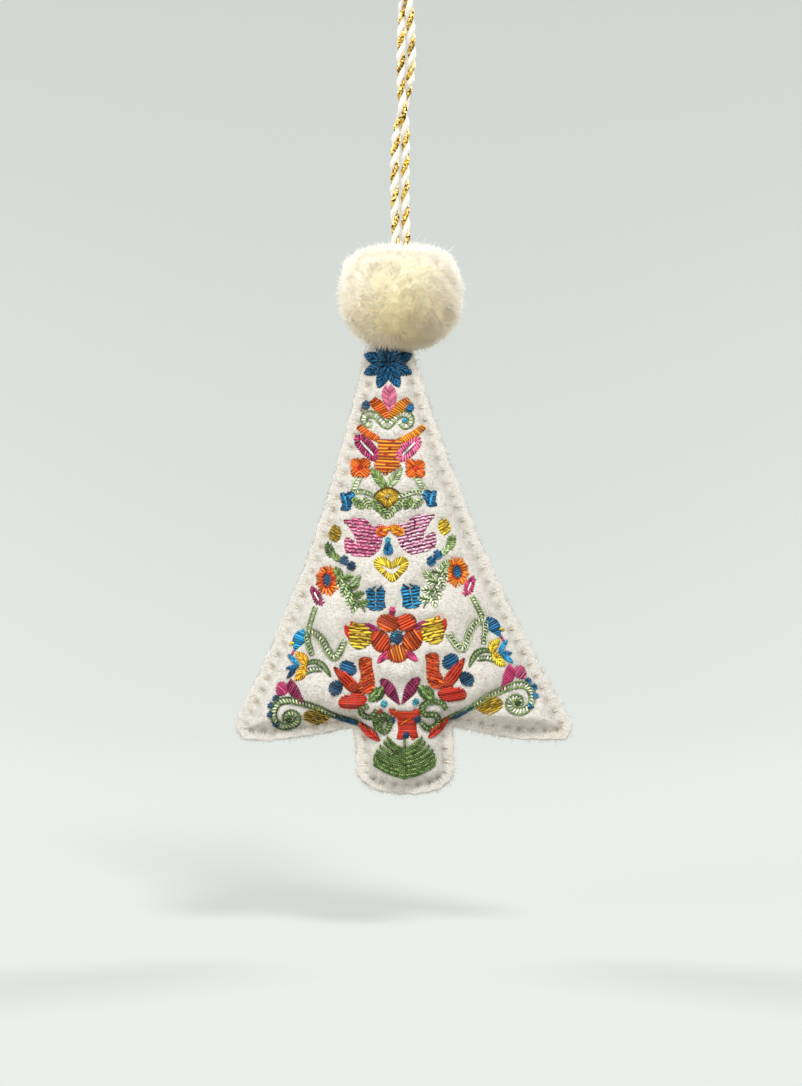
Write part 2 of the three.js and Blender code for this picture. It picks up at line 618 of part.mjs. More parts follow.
// The tree, placed by its foot, with everything sewn to it.
function tree() {
  const group = new THREE.Group();
  group.position.set(0, 0, treeBase);
  group.add(frontFelt(), backFelt(), fibreStuffing(), ...seamStitching(), ...embroidery());
  return group;
}

const ornament = new THREE.Group();
ornament.add(hangingLoop(), cordKnot(), pompomYarn(), pompomTie(), anchorThread(), tree());

export default ornament;
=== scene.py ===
# A stuffed felt tree with folk embroidery, sewn under a yarn pompom on a loop of two-ply cord.
# Lengths are metres; MM turns a size in millimetres into them. +Z is up and the embroidered front faces -Y.
import math

import bmesh
import bpy
import numpy as np
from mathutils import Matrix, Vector
from mathutils.geometry import delaunay_2d_cdt


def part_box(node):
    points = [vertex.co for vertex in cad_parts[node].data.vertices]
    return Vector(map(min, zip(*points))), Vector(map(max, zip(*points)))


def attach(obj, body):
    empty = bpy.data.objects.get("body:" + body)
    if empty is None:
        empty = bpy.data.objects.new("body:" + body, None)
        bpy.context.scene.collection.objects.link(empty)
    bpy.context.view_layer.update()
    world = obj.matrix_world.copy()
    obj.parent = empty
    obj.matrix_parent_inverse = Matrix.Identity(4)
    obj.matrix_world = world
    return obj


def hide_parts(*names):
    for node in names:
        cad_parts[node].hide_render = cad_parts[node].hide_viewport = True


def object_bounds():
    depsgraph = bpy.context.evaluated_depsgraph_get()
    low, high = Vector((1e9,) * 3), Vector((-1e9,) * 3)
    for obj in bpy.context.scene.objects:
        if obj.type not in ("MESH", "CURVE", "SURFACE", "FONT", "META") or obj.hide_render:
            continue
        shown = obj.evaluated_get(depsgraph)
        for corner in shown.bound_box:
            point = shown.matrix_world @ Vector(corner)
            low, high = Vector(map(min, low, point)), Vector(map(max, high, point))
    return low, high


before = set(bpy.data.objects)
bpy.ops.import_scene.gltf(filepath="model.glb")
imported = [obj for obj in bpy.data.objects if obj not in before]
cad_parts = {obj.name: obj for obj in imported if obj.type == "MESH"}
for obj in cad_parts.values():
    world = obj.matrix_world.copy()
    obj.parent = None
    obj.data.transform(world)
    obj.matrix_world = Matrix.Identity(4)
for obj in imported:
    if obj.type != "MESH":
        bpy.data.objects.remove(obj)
cad_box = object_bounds()
MM = 0.001


# The camera stands level with the tree, a little above it, with a long lens.
# The photograph's frame is 802 by 1086 pixels, and the pompom, 123 of them wide, sets their size.
PHOTO_HEIGHT = 1086
PIXEL = 0.285 * MM
CAMERA_DISTANCE = 1.1
CAMERA_RISE = math.radians(3.5)
SENSOR_HEIGHT = 24.0
CROWN_PIXEL_Y = 247
loop_height = -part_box("pompom_yarn")[1][2]
aim_height = -loop_height - (PHOTO_HEIGHT / 2 - CROWN_PIXEL_Y) * PIXEL

camera_data = bpy.data.cameras.new("camera")
camera_data.sensor_fit = "VERTICAL"
camera_data.sensor_height = SENSOR_HEIGHT
camera_data.lens = SENSOR_HEIGHT * CAMERA_DISTANCE / (PHOTO_HEIGHT * PIXEL)
camera = bpy.data.objects.new("camera", camera_data)
camera.location = (0, -CAMERA_DISTANCE * math.cos(CAMERA_RISE),
                   aim_height + CAMERA_DISTANCE * math.sin(CAMERA_RISE))
camera.rotation_euler = (math.pi / 2 - CAMERA_RISE, 0, 0)
bpy.context.scene.collection.objects.link(camera)
bpy.context.scene.camera = camera
bpy.context.scene.view_settings.view_transform = "Standard"


# The studio: a pale paper floor below the hanging tree that sweeps up behind it, and soft lamps.
# The key lamp is high in front, and two edge lamps behind catch the fuzz of the felt and the yarn.
def linear(hex_colour):
    """sRGB hex to linear RGBA: below 0.04045 a twelfth, above it the 2.4 power."""
    s = np.array([int(hex_colour[i:i + 2], 16) / 255 for i in (1, 3, 5)])
    return (*np.where(s <= 0.04045, s / 12.92, ((s + 0.055) / 1.055) ** 2.4), 1.0)


def add_node(tree, kind, settings=None, links=None):
    """Add one shader node, set its attributes or inputs, and link what feeds it."""
    node = tree.nodes.new(kind)
    for key, value in (settings or {}).items():
        if key in node.inputs:
            node.inputs[key].default_value = value
        else:
            setattr(node, key, value)
    for key, source in (links or {}).items():
        tree.links.new(source, node.inputs[key])
    return node


def new_material(name, **sockets):
    """A material with one Principled shader, its sockets set directly."""
    material = bpy.data.materials.new(name)
    material.use_nodes = True
    shader = material.node_tree.nodes["Principled BSDF"]
    for key, value in sockets.items():
        shader.inputs[key.replace("_", " ")].default_value = value
    return material, material.node_tree, shader


def mesh_object(name, points, loops, sizes, materials, uv=None, material_index=None, smooth=True):
    """A mesh from points, one run of corner indices and the corner count of each face."""
    mesh = bpy.data.meshes.new(name)
    mesh.vertices.add(len(points))
    mesh.vertices.foreach_set("co", np.asarray(points, dtype=np.float32).ravel())
    mesh.loops.add(len(loops))
    mesh.loops.foreach_set("vertex_index", np.asarray(loops, dtype=np.int32))
    mesh.polygons.add(len(sizes))
    starts = np.concatenate([[0], np.cumsum(sizes)[:-1]])
    mesh.polygons.foreach_set("loop_start", starts.astype(np.int32))
    mesh.polygons.foreach_set("use_smooth", np.full(len(sizes), smooth))
    if material_index is not None:
        mesh.polygons.foreach_set("material_index", np.asarray(material_index, dtype=np.int32))
    mesh.update(calc_edges=True)
    if uv is not None:
        layer = mesh.uv_layers.new(name="along")
        layer.data.foreach_set("uv", np.asarray(uv, dtype=np.float32)[np.asarray(loops)].ravel())
    for material in materials:
        mesh.materials.append(material)
    piece = bpy.data.objects.new(name, mesh)
    bpy.context.scene.collection.objects.link(piece)
    return piece


FLOOR_DROP = 42 * MM
FLOOR_REACH = 1.2
SWEEP_START = 0.5
SWEEP_RADIUS = 0.6
FLOOR_OWN_LIGHT = 0.2
WORLD_LIGHT = 0.34
WORLD_SEEN = 0.8
floor_height = cad_box[0][2] - FLOOR_DROP


def seen_directly(tree):
    """1 for a ray from the camera or a mirror-like or see-through surface, and 0 for one that only lights."""
    rays = add_node(tree, "ShaderNodeLightPath")
    total = rays.outputs["Is Camera Ray"]
    for kind in ("Is Glossy Ray", "Is Transmission Ray"):
        larger = add_node(tree, "ShaderNodeMath", {"operation": "MAXIMUM"})
        tree.links.new(total, larger.inputs[0])
        tree.links.new(rays.outputs[kind], larger.inputs[1])
        total = larger.outputs["Value"]
    return total


def studio_floor():
    """Floor profile: flat up to the sweep's start, then a quarter circle up, then a wall."""
    turn = np.linspace(0, math.pi / 2, 24)
    y = np.concatenate([[-FLOOR_REACH], SWEEP_START + SWEEP_RADIUS * np.sin(turn),
                        [SWEEP_START + SWEEP_RADIUS]])
    z = np.concatenate([[0], SWEEP_RADIUS * (1 - np.cos(turn)), [FLOOR_REACH]]) + floor_height
    x = np.array([-FLOOR_REACH, FLOOR_REACH])
    points = np.stack([np.repeat(x, len(y)), np.tile(y, 2), np.tile(z, 2)], axis=1)
    i = np.arange(len(y) - 1)
    loops = np.stack([i, i + len(y), i + len(y) + 1, i + 1], axis=1).ravel()
    paper, nodes, shader = new_material("matt_paper", Roughness=0.95)
    seen = seen_directly(nodes)
    shown = add_node(nodes, "ShaderNodeMix",
                     {"data_type": "RGBA", "A": linear("#A9A79F"), "B": linear("#A6AAA6")}, {"Factor": seen})
    shader.inputs["Emission Color"].default_value = linear("#F2F5F2")
    own = add_node(nodes, "ShaderNodeMath", {"operation": "MULTIPLY", "Value_001": FLOOR_OWN_LIGHT},
                   {"Value": seen})
    nodes.links.new(own.outputs["Value"], shader.inputs["Emission Strength"])
    nodes.links.new(shown.outputs["Result"], shader.inputs["Base Color"])
    mesh_object("floor", points, loops, np.full(len(i), 4), [paper])


studio_floor()


def soft_lamp(name, place, size, watts):
    """A square white area lamp at a place, turned to look at the tree's middle."""
    data = bpy.data.lights.new(name, "AREA")
    data.size = size
    data.energy = watts
    lamp = bpy.data.objects.new(name, data)
    direction = np.subtract((0, 0, aim_height), place)
    lamp.location = place
    lamp.rotation_euler = (math.acos(-direction[2] / np.linalg.norm(direction)), 0,
                           math.atan2(direction[1], direction[0]) - math.pi / 2)
    bpy.context.scene.collection.objects.link(lamp)


soft_lamp("key", (0.3, -0.8, 0.7), 0.3, 10.6)
soft_lamp("fill", (-0.8, -0.75, 0.15), 0.6, 5.8)
for side, name in ((-1, "edge_left"), (1, "edge_right")):
    soft_lamp(name, (0.8 * side, 0.55, 0.3), 0.3, 8.0)

world = bpy.data.worlds.new("studio")
world.use_nodes = True
bpy.context.scene.world = world
background = world.node_tree.nodes["Background"]
background.inputs["Color"].default_value = linear("#F4F6F8")
shine = add_node(world.node_tree, "ShaderNodeMapRange", {"To Min": WORLD_LIGHT, "To Max": WORLD_SEEN},
                 {"Value": seen_directly(world.node_tree)})
world.node_tree.links.new(shine.outputs["Result"], background.inputs["Strength"])


# The hanging cord: one white wool ply and one crinkled gold metallic ply laid up with a Z twist.
# It comes out of the pompom's crown, goes up, over the hook and down again, and its legs turn
# about each other.
CORD_ROUTE = np.array([
    (-1.45, 0, -97.5), (-1.5, 0, -94), (-1.7, 0, -88), (-1.75, 0.05, -82), (-1.8, 0.1, -76),
    (-1.5, 0.6, -69), (-0.9, 1.2, -63.5), (0.55, 1.45, -58.5), (1.6, 1.25, -54), (2.6, 0.6, -49),
    (2.95, 0, -42.5), (2.8, -0.6, -36), (2.35, -1.15, -30.5), (1.6, -1.4, -26), (0.1, -1.35, -21.5),
    (-2.6, -0.9, -17), (-5.4, -0.4, -12.5), (-7.2, 0, -7.2), (-6.2, 0, -2.2), (-3.4, 0, 0.45),
    (0, 0, 1.25), (3.4, 0, 0.45), (6.2, 0, -2.2), (7.2, 0.1, -7.2), (6, 0.5, -12.5), (3.8, 1, -17),
    (1.5, 1.4, -21.5), (0.9, 1.4, -26), (0.45, 1.15, -30.5), (0.2, 0.6, -36), (0.05, 0, -42.5),
    (0, -0.6, -49), (0.2, -1.25, -54), (0.55, -1.45, -58.5), (1.2, -1.2, -63.5), (1.3, -0.6, -69),
    (1.2, -0.1, -76), (1.15, -0.05, -82), (1.4, 0, -94), (1.45, 0, -97.5),
]) * MM
CORD_DIAMETER = 2.6 * MM
PLY_PITCH = 7.2 * MM
WHITE_PLY_RADIUS = 0.84 * MM
GOLD_PLY_RADIUS = 0.72 * MM
CORD_STEP = 0.28 * MM
CORD_SIDES = 12
CORD_REFERENCE = np.array([0.0, 1.0, 0.0])
WHITE_STRAND_RELIEF = 0.07
GOLD_FOLD_RELIEF = 0.16
HALO_HAIRS = 2600
HALO_RADIUS = 0.035 * MM
HALO_REFERENCE = np.array([0.3, 0.8, 0.5])


def run_along(line):
    """The length run from a line's start to each of its points."""
    return np.concatenate([[0], np.cumsum(np.linalg.norm(np.diff(line, axis=0), axis=1))])


def read_line(line, run, at):
    """The places on a line at given lengths along it."""
    return np.stack([np.interp(at, run, line[:, k]) for k in range(line.shape[1])], axis=1)


def smooth_route(points):
    """Centripetal Catmull-Rom through the points, by repeated mixing, then equal steps along its length."""
    ends = np.vstack([2 * points[0] - points[1], points, 2 * points[-1] - points[-2]])
    knots = np.concatenate([[0], np.cumsum(np.sqrt(np.linalg.norm(np.diff(ends, axis=0), axis=1)))])
    fine = []
    for k in range(1, len(ends) - 2):
        t = np.linspace(knots[k], knots[k + 1], 24, endpoint=False)[:, None]
        knot, level = knots[k - 1:k + 3], ends[k - 1:k + 3]
        for first, span in ((0, 1), (0, 2), (1, 1)):
            level = [mix(a, b, (t - knot[i]) / (knot[i + span] - knot[i]))
                     for i, (a, b) in enumerate(zip(level, level[1:]), first)]
        fine.append(level[0])
    fine = np.vstack([*fine, points[-1]])
    run = run_along(fine)
    even = np.linspace(0, run[-1], int(run[-1] / CORD_STEP) + 1)
    return read_line(fine, run, even), even


def smoothstep(value, low, high):
    """t^2 (3 - 2t) of the share from low to high, and flat beyond both."""
    t = np.clip((value - low) / (high - low), 0, 1)
    return t * t * (3 - 2 * t)


def mix(low, high, share):
    """low + (high - low) share."""
    return low + (high - low) * share


def unit(vectors):
    """Each vector over its length."""
    return vectors / np.maximum(np.linalg.norm(vectors, axis=-1, keepdims=True), 1e-12)


def side_axes(paths, reference):
    """Two axes square to each path's direction: the reference made square to it, and their cross product."""
    along = unit(np.gradient(paths, axis=-2))
    first = unit(reference - np.sum(reference * along, axis=-1, keepdims=True) * along)
    return first, np.cross(along, first)


def sweep(paths, radii, sides, reference, squash=1.0):
    """Closed tubes along paths (tubes, steps, 3): centre + r (squash cos a u + sin a v) at ring angle a."""
    tubes, steps, _ = paths.shape
    u, v = side_axes(paths, reference)
    a = np.arange(sides) / sides * 2 * math.pi
    r = np.broadcast_to(radii, (tubes, steps))[..., None, None]
    ring = u[:, :, None] * np.cos(a)[:, None] * squash + v[:, :, None] * np.sin(a)[:, None]
    points = (paths[:, :, None] + r * ring).reshape(-1, 3)
    start = np.arange(tubes)[:, None, None] * steps * sides
    row = np.arange(steps - 1)[:, None] * sides
    i = np.arange(sides)
    j = (i + 1) % sides
    quads = start[..., None] + np.stack([row + i, row + j, row + sides + j, row + sides + i], axis=-1)[None]
    caps = np.stack([i[::-1], (steps - 1) * sides + i], axis=0)[None] + start
    loops = np.concatenate([quads.ravel(), caps.ravel()])
    sizes = np.concatenate([np.full(tubes * (steps - 1) * sides, 4), np.full(tubes * 2, sides)])
    return points, loops, sizes


def merge_parts(parts):
    """Join (points, loops, sizes) runs into one, with the number of the part that each face came from."""
    shift = np.cumsum([0] + [len(p[0]) for p in parts[:-1]])
    points = np.vstack([p[0] for p in parts])
    loops = np.concatenate([p[1] + s for p, s in zip(parts, shift)])
    sizes = np.concatenate([p[2] for p in parts])
    faces = np.concatenate([np.full(len(p[2]), k) for k, p in enumerate(parts)])
    return points, loops, sizes, faces


def spun_material(name, colour, shade, scale, detail, strength, distance, **sockets):
    """Spun or loose fibre: one noise, as fine as its strands, gives both its streaks and its relief."""
    material, nodes, shader = new_material(name, **sockets)
    place = add_node(nodes, "ShaderNodeTexCoord")
    noise = add_node(nodes, "ShaderNodeTexNoise", {"Scale": scale, "Detail": detail},
                     {"Vector": place.outputs["Object"]})
    tint = add_node(nodes, "ShaderNodeMix", {"data_type": "RGBA", "A": linear(shade), "B": linear(colour)},
                    {"Factor": noise.outputs["Fac"]})
    nodes.links.new(tint.outputs["Result"], shader.inputs["Base Color"])
    bump = add_node(nodes, "ShaderNodeBump", {"Strength": strength, "Distance": distance},
                    {"Height": noise.outputs["Fac"]})
    nodes.links.new(bump.outputs["Normal"], shader.inputs["Normal"])
    return material


def gold_ply_material():
    """Metallised film wrapped round a core: bright gold with dark gaps where the film folds."""
    material, nodes, shader = new_material("gold_film", Metallic=1.0, Roughness=0.28)
    place = add_node(nodes, "ShaderNodeTexCoord")
    folds = add_node(nodes, "ShaderNodeTexVoronoi", {"Scale": 1900.0, "feature": "F1"},
                     {"Vector": place.outputs["Object"]})
    ramp = add_node(nodes, "ShaderNodeValToRGB", links={"Fac": folds.outputs["Color"]})
    ramp.color_ramp.elements[0].position = 0.26
    ramp.color_ramp.elements[0].color = linear("#3A2A0A")
    ramp.color_ramp.elements[1].position = 0.48
    ramp.color_ramp.elements[1].color = linear("#DDAA34")
    light = ramp.color_ramp.elements.new(0.8)
    light.color = linear("#FFE28A")
    nodes.links.new(ramp.outputs["Color"], shader.inputs["Base Color"])
    bump = add_node(nodes, "ShaderNodeBump", {"Strength": 0.9, "Distance": 0.15 * MM},
                    {"Height": folds.outputs["Distance"]})
    nodes.links.new(bump.outputs["Normal"], shader.inputs["Normal"])
    return material


# Worsted wool yarn: matt, with a soft sheen at grazing angles and streaks of fibre.
white_wool = spun_material("white_wool", "#FAF7F1", "#E0D9CC", 2600.0, 4.0, 0.35, 0.1 * MM,
                           Roughness=0.85, Sheen_Weight=0.35, Sheen_Roughness=0.5)
gold_film = gold_ply_material()
rng = np.random.default_rng(7)


def laid_cord(route, halo):
    """Two plies about the route: ply k lies at r (cos(2 pi s / pitch + k pi) u + sin(...) v) from it."""
    line, run = smooth_route(route)
    u, v = side_axes(line, CORD_REFERENCE)
    turn = (2 * math.pi * run / PLY_PITCH)[:, None]
    lay = CORD_DIAMETER / 2 - WHITE_PLY_RADIUS
    a = np.arange(CORD_SIDES) / CORD_SIDES * 2 * math.pi
    plies = ((0, WHITE_PLY_RADIUS, WHITE_STRAND_RELIEF * np.cos(4 * a - 3 * turn)),
             (math.pi, GOLD_PLY_RADIUS,
              GOLD_FOLD_RELIEF * np.cos(3 * a + 1.7 * turn + 2 * np.sin(turn * 2.3))))
    middles, parts = [], []
    for phase, radius, relief in plies:
        middle = line + lay * (np.cos(turn + phase) * u + np.sin(turn + phase) * v)
        points, loops, sizes = sweep(middle[None], radius, CORD_SIDES, CORD_REFERENCE)
        rings = points.reshape(len(line), CORD_SIDES, 3) - middle[:, None]
        rings = middle[:, None] + rings * (1 + relief[..., None])
        parts.append((rings.reshape(-1, 3), loops, sizes))
        middles.append(middle)
    if halo:
        pick = rng.integers(4, len(line) - 4, halo)
        away = unit(rng.normal(size=(halo, 3)))
        drift = rng.normal(size=(halo, 3)) * 0.5
        t = np.linspace(0, 1, 5)[None, :, None]
        length = rng.uniform(0.5, 1.5, halo)[:, None, None] * MM
        hairs = middles[0][pick][:, None] + away[:, None] * (WHITE_PLY_RADIUS * 0.8 + length * t * 0.55)
        hairs = hairs + drift[:, None] * length * t ** 2
        parts.append(sweep(hairs, HALO_RADIUS * (1 - 0.6 * t[..., 0]), 3, HALO_REFERENCE))
    points, loops, sizes, part_of = merge_parts(parts)
    return points, loops, sizes, np.where(part_of == 1, 1, 0), line, run[-1]


points, loops, sizes, which, cord_line, cord_length = laid_cord(CORD_ROUTE, HALO_HAIRS)
cord = mesh_object("two_ply_cord", points, loops, sizes, [white_wool, gold_film], material_index=which)
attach(cord, "loop")
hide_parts("hanging_loop")


# The cord's two ends are tied in one overhand knot, drawn up inside the pompom's crown.
# It is the same cord, so it shows both plies, and it fills a ball about six millimetres across.
KNOT_DEPTH = 1.4


def knot_route():
    """A trefoil: (sin t + 2 sin 2t, cos t - 2 cos 2t, -depth sin 3t), scaled to the knot's node."""
    low, high = (np.array(c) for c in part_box("cord_knot"))
    t = np.linspace(0, 2 * math.pi, 37)
    curve = np.stack([np.sin(t) + 2 * np.sin(2 * t), np.cos(t) - 2 * np.cos(2 * t),
                      -KNOT_DEPTH * np.sin(3 * t)], axis=1)
    reach = (high - low)[0] / 2 - CORD_DIAMETER / 2
    return (low + high) / 2 + curve / np.abs(curve).max() * reach


points, loops, sizes, which, _, _ = laid_cord(knot_route(), 0)
knot = mesh_object("overhand_knot", points, loops, sizes, [white_wool, gold_film], material_index=which)
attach(knot, "knot")
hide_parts("cord_knot")


# The pompom: a bundle of cream acrylic yarn tied at its middle, cut and clipped to a squarish ball.
# Each yarn end frays into fine fibres, so the pile is dense and soft. Its colour is painted darker and
# yellower deep down, as shade inside the pile, and pale at its tips.
POMPOM_SQUARENESS = (2.1, 3.1)
POMPOM_HEIGHT_SHARE = 0.845
PILE_TUFTS = 1620
FIBRES_PER_TUFT = 20
FIBRE_RADIUS = 0.078 * MM      # about twice a real acrylic fibre, so that single ones show
FIBRE_BEND = 0.42 * MM
PILE_PIECES = 4
PILE_ROOT_SHARE = 0.7
PILE_REFERENCE = np.array([0.41, 0.72, 0.56])
TUFT_SPREAD = 0.07
CLIPPED_BALL = 17 * MM
CLIPPED_LUMP = 8 * MM
LUMP_SHARE = 0.026
TUFT_CUT_SHARE = 0.011
FIBRE_CUT_SHARE = 0.009
STRAY_SHARE = 0.018
HEART_SHARE = 0.92
pompom_low, pompom_high = (np.array(c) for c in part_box("pompom_yarn"))
pompom_low[2] = -loop_height - (pompom_high - pompom_low)[1] * POMPOM_HEIGHT_SHARE
pompom_middle = (pompom_low + pompom_high) / 2
pompom_half = (pompom_high - pompom_low) / 2


def ball_reach(directions):
    """From the middle to the clipped ball: a superellipsoid's radius, rounder below and squarer above."""
    q = np.abs(directions) / pompom_half
    across = np.sqrt(q[:, 0] ** 2 + q[:, 1] ** 2)
    power = mix(*POMPOM_SQUARENESS, smoothstep(directions[:, 2], -0.5, 0.4))
    return (across ** power + q[:, 2] ** power) ** (-1 / power)


def lumps(points, scale, seed, octaves=3):
    """Smooth random lumps about zero: sums of sines along random directions, finer and weaker each octave."""
    waves = np.random.default_rng(seed)
    total = np.zeros(len(points))
    for octave in range(octaves):
        for _ in range(5):
            k = unit(waves.normal(size=3)) * 2 * math.pi / scale * 1.9 ** octave
            total += np.sin(points @ k + waves.uniform(0, 6.28)) * 0.32 * 0.55 ** octave
    return total


def sphere_spread(count):
    """Even directions over a sphere by the golden angle."""
    i = np.arange(count) + 0.5
    height = 1 - 2 * i / count
    angle = i * math.pi * (3 - math.sqrt(5))
    across = np.sqrt(1 - height ** 2)
    return np.stack([across * np.cos(angle), across * np.sin(angle), height], axis=1)


def pile_material():
    """Acrylic pile: each fibre passes from a darker yellow root, painted shade deep in the pile, to a pale
    tip, and is a little yellower low down, painted shade on the underside.
    """
    material, nodes, shader = new_material(
        "cream_acrylic_pile", Roughness=0.75, Sheen_Weight=0.9, Sheen_Roughness=0.5, Subsurface_Weight=0.8,
        Subsurface_Scale=2 * MM)
    shader.inputs["Sheen Tint"].default_value = linear("#FFF6DC")
    shader.inputs["Subsurface Radius"].default_value = (1.0, 0.85, 0.6)
    along = add_node(nodes, "ShaderNodeUVMap", {"uv_map": "along"})
    parts = add_node(nodes, "ShaderNodeSeparateXYZ", links={"Vector": along.outputs["UV"]})
    # Painted shade: the roots' darker yellow stands for the shade deep inside the pile.
    ramp = add_node(nodes, "ShaderNodeValToRGB", links={"Fac": parts.outputs["X"]})
    ramp.color_ramp.elements[0].color = linear("#F4DAA2")
    ramp.color_ramp.elements[1].color = linear("#FFFBEA")
    mid = ramp.color_ramp.elements.new(0.55)
    mid.color = linear("#FFF3D3")
    place = add_node(nodes, "ShaderNodeTexCoord")
    height = add_node(nodes, "ShaderNodeSeparateXYZ", links={"Vector": place.outputs["Object"]})
    # Painted shade: below the pompom's middle, the colour is multiplied towards yellow.
    low_shade_share = add_node(nodes, "ShaderNodeMapRange",
                     {"From Min": pompom_middle[2] + 3 * MM, "From Max": pompom_low[2]},
                     {"Value": height.outputs["Z"]})
    painted_low_shade = add_node(nodes, "ShaderNodeMix",
                    {"data_type": "RGBA", "blend_type": "MULTIPLY", "B": linear("#FFF1C6")},
                    {"Factor": low_shade_share.outputs["Result"], "A": ramp.outputs["Color"]})
    nodes.links.new(painted_low_shade.outputs["Result"], shader.inputs["Base Color"])
    return material


acrylic_pile = pile_material()


def pompom_pile():
    """Fibres from their tuft's root out to the clipped surface, each a little bent, and a few longer ones."""
    tufts = np.repeat(sphere_spread(PILE_TUFTS), FIBRES_PER_TUFT, axis=0)
    count = len(tufts)
    aim = unit(tufts + rng.normal(size=(count, 3)) * TUFT_SPREAD)
    reach = ball_reach(aim)
    cut = np.repeat(rng.normal(size=PILE_TUFTS) * TUFT_CUT_SHARE, FIBRES_PER_TUFT)
    clip = 1 + LUMP_SHARE * lumps(aim * CLIPPED_BALL, CLIPPED_LUMP, 3) + cut
    clip += rng.normal(size=count) * FIBRE_CUT_SHARE
    stray = rng.random(count) < STRAY_SHARE
    clip[stray] += rng.uniform(0.01, 0.045, stray.sum())
    t = np.linspace(0, 1, 4)[None, :, None]
    root = tufts * (ball_reach(tufts) * PILE_ROOT_SHARE)[:, None]
    tip = aim * (reach * clip)[:, None]
    bend = rng.normal(size=(count, 3)) * FIBRE_BEND
    bend[stray] *= 2.4
    paths = root[:, None] * (1 - t) + tip[:, None] * t + bend[:, None] * np.sin(t * math.pi) * 0.7
    paths += bend[:, None] * t ** 3 + pompom_middle
    radii = FIBRE_RADIUS * (1 - 0.5 * t[..., 0] ** 2) * rng.uniform(0.75, 1.15, count)[:, None]
    return paths, radii


def pompom():
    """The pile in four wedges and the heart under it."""
    paths, radii = pompom_pile()
    steps = paths.shape[1]
    wedge = (np.arctan2(paths[:, -1, 1], paths[:, -1, 0]) / (2 * math.pi) % 1 * PILE_PIECES).astype(int)
    for k in range(PILE_PIECES):
        mine = wedge == k
        points, loops, sizes = sweep(paths[mine], radii[mine], 3, PILE_REFERENCE)
        share = np.tile(np.repeat(np.linspace(0, 1, steps), 3), mine.sum())
        shade = np.repeat(rng.random(mine.sum()), steps * 3)
        piece = mesh_object(f"pompom_pile_{k + 1}", points, loops, sizes, [acrylic_pile],
                            uv=np.stack([share * (0.82 + 0.18 * shade), shade], axis=1))
        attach(piece, "pompom")
    rows, cols = 60, 90
    up = np.linspace(0, math.pi, rows)[:, None]
    turn = np.linspace(0, 2 * math.pi, cols, endpoint=False)[None]
    aim = np.stack([np.sin(up) * np.cos(turn), np.sin(up) * np.sin(turn), np.cos(up) + 0 * turn], axis=-1)
    aim = aim.reshape(-1, 3)
    share = HEART_SHARE + 0.02 * lumps(aim * CLIPPED_BALL, 5 * MM, 5)
    heart = aim * (ball_reach(aim) * share)[:, None] + pompom_middle
    i = np.arange(rows - 1)[:, None] * cols
    j = np.arange(cols)[None]
    n = (j + 1) % cols
    loops = np.stack([i + j, i + cols + j, i + cols + n, i + n], axis=-1).ravel()
    piece = mesh_object("pompom_heart", heart, loops, np.full((rows - 1) * cols, 4), [acrylic_pile],
                        uv=np.full((len(heart), 2), 0.5))
    merge_doubles(piece)
    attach(piece, "pompom")
    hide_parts("pompom_yarn")


def merge_doubles(piece, distance=1e-6):
    """Close seams and poles by joining points that coincide, and drop faces that collapsed."""
    shape = bmesh.new()
    shape.from_mesh(piece.data)
    bmesh.ops.remove_doubles(shape, verts=shape.verts, dist=distance)
    bmesh.ops.dissolve_degenerate(shape, edges=shape.edges, dist=distance / 10)
    bmesh.ops.recalc_face_normals(shape, faces=shape.faces)
    shape.to_mesh(piece.data)
    shape.free()


pompom()


# The thread inside: a ring that ties the pompom's strands and the thread that sews the tree's tip to it.
# Both are white mercerised cotton, with a soft sheen and a fine unevenness of its twist. They keep their
# solids' shapes, because the pile hides them.
white_cotton = spun_material("white_cotton", "#F4EFE4", "#E2DACB", 3500.0, 2.0, 0.4, 0.05 * MM,
                             Roughness=0.55, Sheen_Weight=0.25, Sheen_Roughness=0.35)
for node in ("pompom_tie", "anchor_thread"):
    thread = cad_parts[node]
    thread.data.materials.clear()
    thread.data.materials.append(white_cotton)


# The embroidery's drawing. The front panel is embroidered flat, before it is sewn and stuffed.
# It is a folk pattern of flowers, hearts, doves, leaves and scrolls in satin, ladder, brick and stem stitch.
# It is drawn in stitch units of 0.285 mm, x to the right and y down, and only its left half where it is
# paired. The upper layer of a large motif is laid about 1 mm apart over a darker one. That is coarser
# than the real thread, so that single threads show. The darker layer under it is partly painted shade,
# standing for the shade in the gaps between the upper threads.
STITCH_UNIT = PIXEL
MIDDLE_ACROSS = 401
STITCH_PITCH = 2.25
LEAF = (0.12, 0.6, 0.88, 1.0, 0.92, 0.66, 0.15)
DROP = (0.15, 0.45, 0.75, 0.95, 1.0, 0.85, 0.35)
BUD = (0.5, 0.9, 1.0, 0.95, 0.75, 0.45, 0.12)
EVEN = (0.85, 1.0, 1.0, 1.0, 0.85)


def through(*points, closed=False, steps=10):
    """Uniform Catmull-Rom: half (2p1 + (p2-p0)t + (2p0-5p1+4p2-p3)t^2 + (3p1-p0-3p2+p3)t^3) from p1 to p2."""
    p = np.array(points, float)
    if len(p) == 2:
        return p[0] + (p[1] - p[0]) * np.linspace(0, 1, steps)[:, None]
    q = np.vstack([p[-1:], p, p[:2]]) if closed else np.vstack([2 * p[0] - p[1], p, 2 * p[-1] - p[-2]])
    t = np.linspace(0, 1, steps, endpoint=False)[None, :, None]
    p0, p1, p2, p3 = (q[k:len(q) - 3 + k][:, None] for k in range(4))
    line = 0.5 * (2 * p1 + (p2 - p0) * t + (2 * p0 - 5 * p1 + 4 * p2 - p3) * t ** 2
                  + (3 * p1 - p0 - 3 * p2 + p3) * t ** 3)
    return np.vstack([line.reshape(-1, 2), q[-2:-1]])


def spaced(line, pitch):
    """Points at equal lengths along a line, with the share of the length run at each."""
    run = run_along(line)
    even = np.linspace(0, run[-1], max(2, int(round(run[-1] / pitch)) + 1))
    return read_line(line, run, even), even / run[-1]


def square_to(along):
    """Flat directions turned by a quarter."""
    return np.stack([-along[:, 1], along[:, 0]], axis=1)


